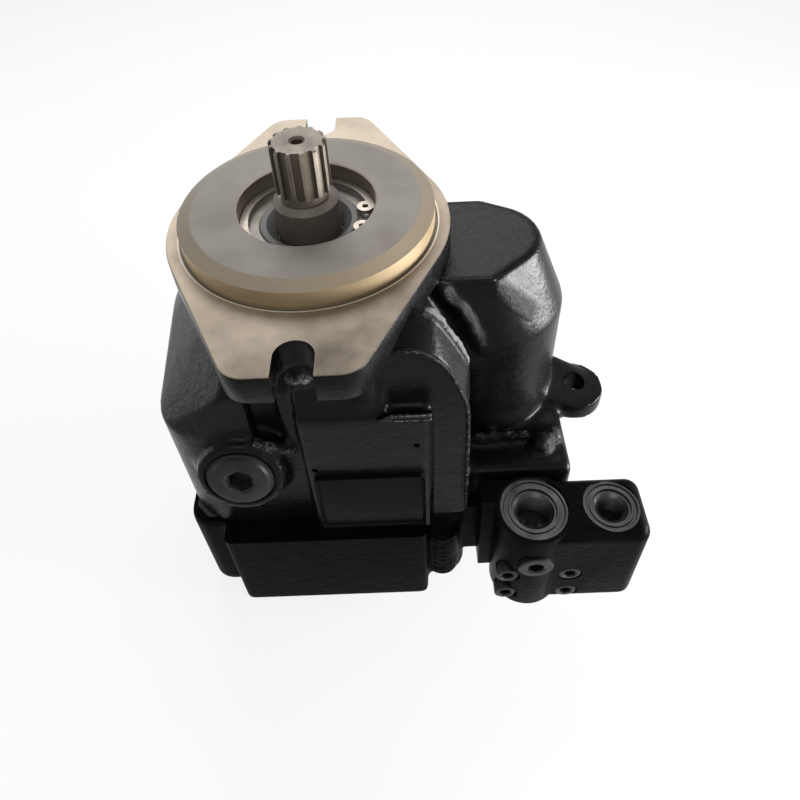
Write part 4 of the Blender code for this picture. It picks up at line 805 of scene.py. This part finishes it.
def housingFinish(spot, normal):
    away = math.hypot(spot.x, spot.y)
    if abs(spot.z - flangeZ) < 0.2 * mm and normal.z > 0.9:
        return 1
    if spot.z > flangeZ - 0.6 * mm and away > inside["sealR"] + 1.5 * mm:
        if away > flange["pilotR"] + 1.4 * mm:
            return 1 if normal.z > 0.5 else 0
        return (5 if normal.z > 0.995 else 4) if normal.z > 0.3 else 2
    nearBore = away < inside["sealR"] + 1.5 * mm
    if away < inside["cavityR"] + 0.5 * mm and (nearBore or spot.z < inside["cavityTop"]):
        inward = -(spot.x * normal.x + spot.y * normal.y)
        if spot.z > flangeZ and normal.z > 0.3:
            return 1
        if inward > 0 or away < inside["sealR"] + 0.5 * mm:
            return 3
    return 0


finished(castHousing, "housing", ["main_housing"],
         [castPaint, flangeIron, pilotIron, boreIron, edgeIron, faceIron], housingFinish)
print("housing faces", len(castHousing.data.polygons))


# End cap

print("end cap")
cap = sized(
    front=(-50, 43, -73, 4), frontEdge=3, footY=(-59, 40), footZ=22, portY=33, portDepth=40, kidneyR=31,
    kidneyHalf=4.5, kidneyFloor=36.4, pocketR=23.8, pocketZ=46.8, screwR=6.6, sinkR=9.6, sinkZ=14,
    controlScrewX=(77.5, 105), controlScrewZ=(40, 57), controlScrewR=3.3, controlDepth=15,
    lug=(50.5, -61), lugR=7.2, lugZ=(14, 54), ribR=8.2, ribRise=1.8, ribStart=3, ribPitch=4.2,
    grain=1.5,
) | {
    "portR": {1: 20.6 * mm, -1: 13.5 * mm},
    "kidneyEnd": math.radians(22),
    "kidneySteps": 7,
    "ribs": 9,
}
capOver = capHigh.z + 6 * mm
low = (-body["leftX"], -body["halfDepth"], 0)
capBox = rounded(boxPiece("capBox", low, (body["rightX"], body["halfDepth"], capOver)), body["edge"], 5)
frontLeft, frontRight, frontY, frontZ = cap["front"]
capFront = boxPiece("capFront", (frontLeft, frontY, frontZ), (frontRight, 0, capOver))
rounded(capFront, cap["frontEdge"])
footFront, footBack = cap["footY"]
capFoot = boxPiece("capFoot", (0, footFront, cap["footZ"]), (foot["x"], footBack, capOver))
rounded(capFoot, foot["edge"])
lugX, lugY = cap["lug"]
lugLow, lugHigh = cap["lugZ"]
lug = rodPiece("capLug", cap["lugR"], (lugX, lugY, lugLow), lugHigh - lugLow, steps=48)
ribs = []
for number in range(cap["ribs"]):
    level = lugLow + cap["ribStart"] + number * cap["ribPitch"]
    ribs.append(rodPiece("lugRib", cap["ribR"], (lugX, lugY, level), cap["ribRise"], steps=48))
castCap = joined("castCap", [capBox, capFront, capFoot, rounded(lug, 2 * mm), *ribs])
castSkin(castCap, cap["grain"], 4)
above = slab("aboveJoint", capHigh.z, 1)
beneath = slab("beneathRear", 0, -1)
pocket = rodPiece("rearPocket", cap["pocketR"], (0, 0, cap["pocketZ"]), 0.05, steps=72)
combined(castCap, "DIFFERENCE", above, beneath, pocket)
for side, portR in cap["portR"].items():
    spot = (0, side * cap["portY"], 0)
    port = turnedPiece(
        "portCut",
        [(portR + 1 * mm, -5 * mm), (portR + 1 * mm, 0), (portR, 1 * mm), (portR, cap["portDepth"])],
        96,
        spot,
    )
    half = math.pi / 2 - cap["kidneyEnd"]
    holes = [port]
    for number in range(2 * cap["kidneySteps"] + 1):
        angle = side * math.pi / 2 - half + number * half / cap["kidneySteps"]
        place = (cap["kidneyR"] * math.cos(angle), cap["kidneyR"] * math.sin(angle), cap["kidneyFloor"])
        holes.append(rodPiece("kidney", cap["kidneyHalf"], place, 0.05, steps=24))
    combined(castCap, "DIFFERENCE", *holes)
for x in inside["screwX"]:
    for y in (-inside["screwY"], inside["screwY"]):
        hole = rodPiece("capHole", cap["screwR"], (x, y, -0.01), 0.1, steps=48)
        sink = rodPiece("capSink", cap["sinkR"], (x, y, -0.01), cap["sinkZ"] + 0.01, steps=64)
        combined(castCap, "DIFFERENCE", hole, sink)
for x in cap["controlScrewX"]:
    for z in cap["controlScrewZ"]:
        start = (x, footFront + cap["controlDepth"], z)
        hole = rodPiece("controlThread", cap["controlScrewR"], start, 0.03, towardFront, 32)
        combined(castCap, "DIFFERENCE", hole)


def capFinish(spot, normal):
    flat = normal.z < -0.9 and spot.z < 0.1 * mm
    away = math.hypot(spot.x, abs(spot.y) - cap["portY"])
    within = spot.z > 0.2 * mm and away < cap["portR"][1] + 0.6 * mm
    return 1 if flat or within else 0


finished(castCap, "housing", ["end_cap"], [capPaint, boreIron], capFinish)


# Shaft, seal and snap ring

print("shaft")
shaft = sized(
    tipR=10.9, rootR=9.3, neckR=9.1, chamfer=0.7, journalR=13, r=12.5, collarR=15.5,
    collarZ=(163.178, 169.178), blockTipR=12.3, blockRootR=11.1, blockZ=(70, 93.5), rearTop=60.4,
    rearR=10, drillR=2.2, gapHalf=0.8,
) | {
    "gapFlare": 2.1,
    "teeth": 13,
    "splineLow": shaftHigh.z - 21 * mm,
    "journalTop": shaftHigh.z - 26 * mm,
}
collarLow, collarHigh = shaft["collarZ"]
teethLow, teethHigh = shaft["blockZ"]
coreR = shaft["blockRootR"] - 0.2 * mm
driveShaft = turnedPiece(
    "driveShaft",
    [
        (shaft["rearR"] - 0.8 * mm, shaftLow.z),
        (shaft["rearR"], shaftLow.z + 0.8 * mm),
        (shaft["rearR"], shaft["rearTop"]),
        (coreR, shaft["rearTop"]),
        (coreR, teethLow),
        (shaft["blockTipR"], teethLow),
        (shaft["blockTipR"], teethHigh),
        (shaft["r"], teethHigh + 0.5 * mm),
        (shaft["r"], collarLow),
        (shaft["collarR"], collarLow),
        (shaft["collarR"], collarHigh),
        (shaft["r"], collarHigh),
        (shaft["r"], inside["sealZ"]),
        (shaft["journalR"], inside["sealZ"]),
        (shaft["journalR"], shaft["journalTop"]),
        (shaft["neckR"] + 1.2 * mm, shaft["journalTop"] + 2 * mm),
        (shaft["neckR"], shaft["journalTop"] + 2 * mm),
        (shaft["neckR"], shaft["splineLow"]),
        (shaft["tipR"] - 0.6 * mm, shaft["splineLow"]),
        (shaft["tipR"], shaft["splineLow"] + 0.6 * mm),
        (shaft["tipR"], shaftHigh.z - shaft["chamfer"]),
        (shaft["tipR"] - shaft["chamfer"], shaftHigh.z),
    ],
    156,
)


def splineGap(rootR, tipR, low, high):
    half = shaft["gapHalf"]
    gap = boxPiece("splineGap", (-half, rootR, low), (half, tipR + 1 * mm, high))
    for corner in gap.data.vertices:
        corner.select = corner.co.y > tipR
    bpy.ops.object.mode_set(mode="EDIT")
    bpy.ops.transform.resize(value=(shaft["gapFlare"], 1, 1), center_override=(0, tipR, low))
    bpy.ops.object.mode_set(mode="OBJECT")
    return gap


for rootR, tipR, low, high in (
    (shaft["rootR"], shaft["tipR"], shaft["splineLow"] - 1 * mm, shaftHigh.z + 5 * mm),
    (shaft["blockRootR"], shaft["blockTipR"], teethLow - 1 * mm, teethHigh),
):
    model = splineGap(rootR, tipR, low, high)
    for number in range(shaft["teeth"]):
        angle = 2 * math.pi * (number + 0.5) / shaft["teeth"]
        combined(driveShaft, "DIFFERENCE", copied(model, "gapCut", Matrix.Rotation(angle, 4, "Z")))
    bpy.data.objects.remove(model)
drill = turnedPiece(
    "centreDrill",
    [
        (0.3 * mm, shaftHigh.z - 8 * mm),
        (shaft["drillR"], shaftHigh.z - 6.5 * mm),
        (shaft["drillR"], shaftHigh.z - 0.9 * mm),
        (shaft["drillR"] + 1 * mm, shaftHigh.z + 0.1 * mm),
    ],
    48,
)
combined(driveShaft, "DIFFERENCE", drill)
finished(driveShaft, "rotating_group", ["drive_shaft"], [splineSteel])

seal = sized(
    outer=27.2, inner=13.3, caseR=19.5, dish=1.2,
)
shaftSeal = turnedPiece(
    "shaftSeal",
    [
        (seal["outer"], sealLow.z),
        (seal["outer"], sealHigh.z - 0.5 * mm),
        (seal["outer"] - 0.5 * mm, sealHigh.z),
        (seal["outer"] - 2.5 * mm, sealHigh.z),
        (seal["outer"] - 3 * mm, sealHigh.z - seal["dish"]),
        (seal["caseR"] + 0.8 * mm, sealHigh.z - seal["dish"]),
        (seal["caseR"], sealHigh.z - 0.4 * mm),
        (seal["inner"] + 4 * mm, sealHigh.z - 0.7 * mm),
        (seal["inner"] + 2 * mm, sealHigh.z - 2.4 * mm),
        (seal["inner"] + 0.3 * mm, sealLow.z + 2.4 * mm),
        (seal["inner"], sealLow.z + 1.8 * mm),
        (seal["inner"], sealLow.z),
    ],
    128,
    hollow=True,
)


def sealFinish(spot, normal):
    return 1 if math.hypot(spot.x, spot.y) > seal["caseR"] + 0.3 * mm else 0


finished(shaftSeal, "housing", ["shaft_seal"], [sealRubber, sealCase], sealFinish)

snap = sized(
    outer=27.2, width=3, lugInset=4, lugR=3.4, lugHoleR=1.3, edge=0.2,
) | {
    "turn": math.radians(-5),
    "opening": math.radians(11),
    "lugTurn": math.radians(16),
}
snapRing = turnedPiece(
    "snapRing",
    [
        (snap["outer"], ringLow.z),
        (snap["outer"], ringHigh.z),
        (snap["outer"] - snap["width"], ringHigh.z),
        (snap["outer"] - snap["width"], ringLow.z),
    ],
    160,
    hollow=True,
)
reach = 2 * snap["outer"]
wedge = boxPiece("snapOpening", (0, -reach, ringLow.z - 0.01), (reach, reach, ringHigh.z + 0.01))
for side in (-1, 1):
    away = (-math.sin(snap["opening"]), side * math.cos(snap["opening"]), 0)
    sliced(wedge, origin, away)
turnRing = Matrix.Rotation(snap["turn"], 4, "Z")
combined(snapRing, "DIFFERENCE", copied(wedge, "opening", turnRing))
bpy.data.objects.remove(wedge)
ringRise = ringHigh.z - ringLow.z
for side in (-1, 1):
    angle = snap["turn"] + side * snap["lugTurn"]
    lugAway = snap["outer"] - snap["lugInset"]
    spot = Vector((lugAway * math.cos(angle), lugAway * math.sin(angle), ringLow.z))
    ear = rodPiece("snapLug", snap["lugR"], spot, ringRise, steps=48)
    combined(snapRing, "UNION", ear)
    hole = rodPiece("snapHole", snap["lugHoleR"], spot - Vector((0, 0, 0.01)), 0.03, steps=32)
    combined(snapRing, "DIFFERENCE", hole)
rounded(snapRing, snap["edge"], 2, 60)
finished(snapRing, "housing", ["seal_retaining_ring"], [ringSteel])


# Plugs and plate

print("plugs and plate")


def outFrom(place, turn, distance):
    return Vector(place) + Euler(turn).to_matrix() @ Vector((0, 0, distance))


def hexPlug(name, spec, headRings, steps, place, turn):
    rings = [
        (spec["threadR"], -spec["depth"]),
        (spec["threadR"], spec["seat"]),
        (spec["r"], spec["seat"]),
        *headRings,
        (spec["mouthR"], spec["head"]),
        (spec["mouthR"] - spec["lip"], spec["head"] - spec["lipDrop"]),
    ]
    deep = outFrom(place, turn, spec["head"] - spec["hexDepth"])
    socket = rodPiece("hexSocket", spec["hexR"], deep, spec["hexDepth"] * 1.5, turn, 6)
    return combined(turnedPiece(name, rings, steps, place, turn), "DIFFERENCE", socket)


plug = sized(
    r=13.5, rim=0.1, headR=12.1, head=2, threadR=10, depth=12, seat=-0.7, hexR=5.8, hexDepth=7,
    mouthR=6.6, lip=0.9, lipDrop=0.6,
)
headRings = [
    (plug["r"], plug["rim"]),
    (plug["headR"] + 0.4 * mm, plug["rim"] + 0.3 * mm),
    (plug["headR"], plug["head"] - 0.8 * mm),
    (plug["headR"] - 0.3 * mm, plug["head"] - 0.3 * mm),
    (plug["headR"] - 0.9 * mm, plug["head"]),
]
drainPlug = hexPlug("drainPlug", plug, headRings, 96, drain["spot"], drain["turn"])
finished(drainPlug, "housing", ["drain_plug"], [plugPaint])

plate = sized(
    cornerR=2.2, edge=0.25,
)


def plateCorner(start, end):
    return abs(start.y - end.y) > 0.5 * mm


namePlate = boxPiece("namePlate", plateLow, plateHigh)
edgesRounded(namePlate, plate["cornerR"], 6, plateCorner)
rounded(namePlate, plate["edge"], 2, 60)
finished(namePlate, "housing", ["name_plate"], [plateGloss])


# Control block and what is screwed into it

print("control block")
control = sized(
    x=(88.4, 136), frontY=-89.5, cornerR=6, lobeR=16.2, y=-75, spoolX=(88.4, 121.3), shoeX=67,
    shoeY=-71, shoeZ=32, shoeDrop=1.5, edge=0.7, portR=(7.1, 5.6), faceR=(14.4, 12), faceSink=1,
    portDepth=14, pitch=1.5, threadDepth=0.5, passageR=3, spoolR=5, spoolTop=17.3, chamberR=7,
    chamber=20, headR=5.3, headY=-83, plugZ=69.5, plugR=8.1, plugSink=1.5, plugThreadR=5.8,
    plugDepth=7.3,
) | {
    "backY": blockHigh.y,
}
left, right = control["x"]
controlZ = blockLow.z
controlTop = blockHigh.z
chamberTop = controlZ + control["chamber"]
high = (right, control["backY"], controlTop)
controlBlock = boxPiece("controlBlock", (left, control["frontY"], controlZ), high)
edited(controlBlock, (bpy.ops.mesh.bevel, {"offset": control["cornerR"], "segments": 8}))
lobe = rodPiece("lobe", control["lobeR"], (left, control["y"], controlZ), controlTop - controlZ, steps=96)
shoe = boxPiece(
    "shoe",
    (control["shoeX"], control["shoeY"], control["shoeZ"]),
    (left, control["backY"], controlTop - control["shoeDrop"]),
)
behind = boxPiece("behind", (0, control["backY"], 0), (2 * right, 0.1, 0.3))
combined(controlBlock, "UNION", lobe, shoe)
combined(controlBlock, "DIFFERENCE", behind)
edited(
    controlBlock,
    (bpy.ops.mesh.remove_doubles, {"threshold": 0.01 * mm}),
    (bpy.ops.mesh.dissolve_limited, {"angle_limit": math.radians(0.5)}),
)
rounded(controlBlock, control["edge"], 3, 60)
for x, portR, faceR in zip(control["spoolX"], control["portR"], control["faceR"]):
    rings = [(portR, controlTop - control["portDepth"])]
    turns = int((control["portDepth"] - 3 * mm) / control["pitch"])
    for number in range(turns):
        level = controlTop - control["portDepth"] + number * control["pitch"]
        for part, drop in ((0.1, 0), (0.5, control["threadDepth"]), (0.9, 0)):
            rings.append((portR - drop, level + part * control["pitch"]))
    faceZ = controlTop - control["faceSink"]
    rings += [
        (portR, faceZ - 2.6 * mm),
        (portR + 1.6 * mm, faceZ - 1.2 * mm),
        (portR + 2.4 * mm, faceZ - 1.2 * mm),
        (portR + 2.7 * mm, faceZ - 0.1 * mm),
        (portR + 3.7 * mm, faceZ - 0.1 * mm),
        (portR + 3.9 * mm, faceZ - 0.8 * mm),
        (faceR - 1.6 * mm, faceZ - 0.8 * mm),
        (faceR - 1.2 * mm, faceZ),
        (faceR - 0.2 * mm, faceZ),
        (faceR, controlTop - 0.2 * mm),
        (faceR + 0.3 * mm, controlTop + 0.1 * mm),
        (faceR + 0.3 * mm, controlTop + 4 * mm),
    ]
    portCut = turnedPiece("signalPort", rings, 96, (x, control["y"], 0))
    hollow = turnedPiece(
        "spoolHollow",
        [
            (control["chamberR"], controlZ - 5 * mm),
            (control["chamberR"], chamberTop),
            (control["spoolR"], chamberTop),
            (control["spoolR"], chamberTop + control["spoolTop"]),
            (control["passageR"], chamberTop + control["spoolTop"]),
            (control["passageR"], controlTop - control["portDepth"] + 1 * mm),
        ],
        64,
        (x, control["y"], 0),
    )
    combined(controlBlock, "DIFFERENCE", portCut, hollow)
for x in cap["controlScrewX"]:
    for z in cap["controlScrewZ"]:
        hole = rodPiece("screwHole", cap["controlScrewR"], (x, -40 * mm, z), 0.1, towardFront, 32)
        sink = rodPiece("screwSink", control["headR"], (x, control["headY"], z), 0.05, towardFront, 48)
        combined(controlBlock, "DIFFERENCE", hole, sink)
plugSpot = (left, control["y"] - control["lobeR"], control["plugZ"])
plugCut = turnedPiece(
    "plugCut",
    [
        (control["plugThreadR"], -control["plugDepth"]),
        (control["plugThreadR"], -control["plugSink"]),
        (control["plugR"], -control["plugSink"]),
        (control["plugR"], 5 * mm),
    ], 64, plugSpot, towardFront)
combined(controlBlock, "DIFFERENCE", plugCut)


def blockFinish(spot, normal):
    for x, faceR in zip(control["spoolX"], control["faceR"]):
        away = math.hypot(spot.x - x, spot.y - control["y"])
        if away < faceR - 0.1 * mm and spot.z < controlTop - 0.5 * mm:
            return 1
    return 0


finished(controlBlock, "housing", ["control_block"], [blockPaint, portSteel], blockFinish)

frontPlug = sized(
    r=7.5, head=1, threadR=5.5, depth=7, seat=-1.2, hexR=3.75, hexDepth=4, mouthR=4.3, lip=0.6,
    lipDrop=0.4,
)
headRings = [(frontPlug["r"], frontPlug["head"] - 0.5 * mm), (frontPlug["r"] - 0.5 * mm, frontPlug["head"])]
controlPlug = hexPlug("controlPlug", frontPlug, headRings, 72, plugSpot, towardFront)
finished(controlPlug, "housing", ["control_plug"], [blackSteel])


def socketScrew(name, shankR, headR, headRise, length):
    made = turnedPiece(
        name,
        [
            (shankR - 0.6 * mm, -length),
            (shankR, -length + 0.6 * mm),
            (shankR, 0),
            (headR - 0.2 * mm, 0),
            (headR, 0.2 * mm),
            (headR, headRise - 0.6 * mm),
            (headR - 0.2 * mm, headRise - 0.2 * mm),
            (headR - 0.6 * mm, headRise),
            (0.66 * headR, headRise),
            (0.60 * headR, headRise - 0.4 * mm),
        ],
        48,
    )
    socket = rodPiece("screwHex", 0.55 * headR, (0, 0, headRise * 0.45), headRise, steps=6)
    return combined(made, "DIFFERENCE", socket)


screws = {   # node: (piece, shank radius, head radius, head, length, turn about X, axis it lies along)
    "control_screw_": ("controlScrew", 3 * mm, 5 * mm, 6 * mm, 38.3 * mm, math.pi / 2, 1),
    "end_cap_screw_": ("capScrew", 6 * mm, 9 * mm, 12 * mm, 83.6 * mm, math.pi, 2),
}
for prefix, (short, shankR, headR, headRise, length, turn, axis) in screws.items():
    model = socketScrew(short + "Model", shankR, headR, headRise, length)
    turned = Matrix.Rotation(turn, 4, "X")
    for node in sorted(name for name in frame["nodes"] if name.startswith(prefix)):
        low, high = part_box(node)
        spot = (low + high) / 2
        spot[axis] = low[axis] + headRise
        made = copied(model, node.replace(prefix, short), Matrix.Translation(spot) @ turned)
        finished(made, "housing", [node], [blackSteel])
    bpy.data.objects.remove(model)

adjuster = sized(
    plugR=6.7, inset=5, hexR=9, hex=8, stemR=4, stem=7,
)
model = turnedPiece(
    "adjusterModel",
    [
        (adjuster["plugR"], adjuster["inset"]),
        (adjuster["plugR"], -1 * mm),
        (adjuster["stemR"], -1 * mm),
        (adjuster["stemR"], 0.8 * mm - adjuster["hex"] - adjuster["stem"]),
        (adjuster["stemR"] - 0.8 * mm, -adjuster["hex"] - adjuster["stem"]),
    ],
    64,
)
nutLow = -0.3 * mm - adjuster["hex"]
nut = rodPiece("adjusterNut", adjuster["hexR"], (0, 0, nutLow), adjuster["hex"], steps=6)
combined(model, "UNION", rounded(nut, 0.5 * mm, 2))
stemTip = -adjuster["hex"] - adjuster["stem"]
low = (-0.6 * mm, -8 * mm, stemTip - 1 * mm)
combined(model, "DIFFERENCE", boxPiece("driverSlot", low, (0.6 * mm, 8 * mm, stemTip + 1.5 * mm)))
for node, x in zip(("pc_adjuster", "ls_adjuster"), control["spoolX"]):
    made = copied(model, node[:2] + "Adjuster", Matrix.Translation((x, control["y"], controlZ)))
    finished(made, "housing", [node], [blackSteel])
bpy.data.objects.remove(model)


# Springs, coiled in the place of each CAD spring and baked there

springs = {   # node: (wire radius, turns, moving body, whether its moving end is the upper one)
    "bias_spring": (1.6 * mm, 5, "bias", False),
    "pc_spring": (0.6 * mm, 5, "pc_valve", True),
    "ls_spring": (0.6 * mm, 5, "ls_valve", True),
}
for node, (wireR, turns, mover, upper) in springs.items():
    low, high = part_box(node)
    turnR = (high.x - low.x) / 2 - wireR
    clearSelection()
    bpy.ops.mesh.primitive_circle_add(
        vertices=12,
        radius=wireR,
        location=(turnR, 0, wireR),
        rotation=towardFront,
    )
    made = settled(named(node.replace("_spring", "Spring")))
    rise = (high.z - low.z - 2 * wireR) / turns
    modified(made, "SCREW", axis="Z", screw_offset=rise, iterations=turns, steps=32, render_steps=32)
    outward = (bpy.ops.mesh.normals_make_consistent, {"inside": False})
    edited(made, (bpy.ops.mesh.fill_holes, {"sides": 0}), outward)
    made.location = ((low.x + high.x) / 2, (low.y + high.y) / 2, low.z)
    settled(made)
    ends = [Vector((0, 0, level)) for level in (low.z, high.z)]
    finished(made, mover, [node], [springSteel], stretch=ends if upper else ends[::-1])


# Inner pieces keep their CAD shape

print("inner pieces")
innerFinish = {
    "machined_steel": turnedSteel,
    "spring_steel": springSteel,
    "bronze": bronzeMetal,
    "gasket": gasketSheet,
}
for part in frame["record"]["subparts"]:
    node = frame["nodes"][part["node"]]
    if not node.hide_render:
        node.data.materials.clear()
        node.data.materials.append(innerFinish[part["material_slot"]].material)
        for face in node.data.polygons:
            face.material_index = 0


# Floor, light and camera

print("floor, light and camera")
backdrop = {
    "floorSize": 8,
    "floorTones": (0.80, 0.84),
    "floorShare": 0.8,
    "skyLight": 0.25,
    "skyStrength": 0.95,
}
clearSelection()
bpy.ops.mesh.primitive_plane_add(size=backdrop["floorSize"], location=origin)
floor = named("floor")
floorFinish = newFinish("floorFinish")
floorTones = [colour(tone, tone, tone) for tone in backdrop["floorTones"]]
floorTone = floorFinish.mix(floorFinish.noise(3.0, 2.0), *floorTones)
floorFinish.give(Base_Color=floorTone, Roughness=0.9, Specular_IOR_Level=0.1)
floorFinish.behind("ShaderNodeEmission", 1.0, backdrop["floorShare"], "Material Output")
floor.data.materials.append(floorFinish.material)

world = bpy.data.worlds.new("studio")
bpy.context.scene.world = world
sky = Finish(world, "Background")
sky.give(Color=colour(1, 1, 1), Strength=backdrop["skyLight"])
sky.behind("ShaderNodeBackground", backdrop["skyStrength"], 1.0, "World Output")

lights = {
    "keyLight": ((0.0, 0.58, 0.83), (0.7, 0.5), 7.0, (1.0, 0.98, 0.95)),
    "frontLight": ((-0.10, -0.75, 0.85), (0.5, 0.3), 3.0, (1.0, 1.0, 1.0)),
    "rightLight": ((0.62, -0.11, 0.09), (0.4, 0.15), 14.0, (1.0, 0.99, 0.97)),
    "leftLight": ((-0.80, 0.20, 0.10), (0.5, 0.3), 2.0, (1.0, 1.0, 1.0)),
}
aim = Vector((20 * mm, -10 * mm, 120 * mm))
for name, (spot, size, power, tint) in lights.items():
    data = bpy.data.lights.new(name, "AREA")
    data.shape = "RECTANGLE"
    data.size, data.size_y = size
    data.energy = power
    data.color = tint
    lamp = bpy.data.objects.new(name, data)
    bpy.context.scene.collection.objects.link(lamp)
    lamp.location = spot
    lamp.rotation_euler = (aim - Vector(spot)).to_track_quat("-Z", "Y").to_euler()

view = {
    "lens": 31.354,
    "sensor": 36.0,
    "clipStart": 0.005,
    "shiftY": -0.125,
    "azimuth": math.radians(0.865),
    "height": math.radians(43.86),
    "roll": math.radians(-3.0),
    "spot": (38.33 * mm, -225.91 * mm, flangeZ + 170.53 * mm),
}
back = Vector((
    math.sin(view["azimuth"]) * math.cos(view["height"]),
    -math.cos(view["azimuth"]) * math.cos(view["height"]),
    math.sin(view["height"]),
))
level = (-back).cross(Vector((0, 0, 1))).normalized()
upright = level.cross(-back).normalized()
across = level * math.cos(view["roll"]) + upright * math.sin(view["roll"])
upward = across.cross(-back).normalized()
cameraData = bpy.data.cameras.new("camera")
cameraData.lens = view["lens"]
cameraData.sensor_width = view["sensor"]
cameraData.shift_y = view["shiftY"]
cameraData.clip_start = view["clipStart"]
camera = bpy.data.objects.new("camera", cameraData)
bpy.context.scene.collection.objects.link(camera)
facing = Matrix((across, upward, back)).transposed().to_4x4()
camera.matrix_world = Matrix.Translation(view["spot"]) @ facing
bpy.context.scene.camera = camera
bpy.context.scene.view_settings.view_transform = "Standard"
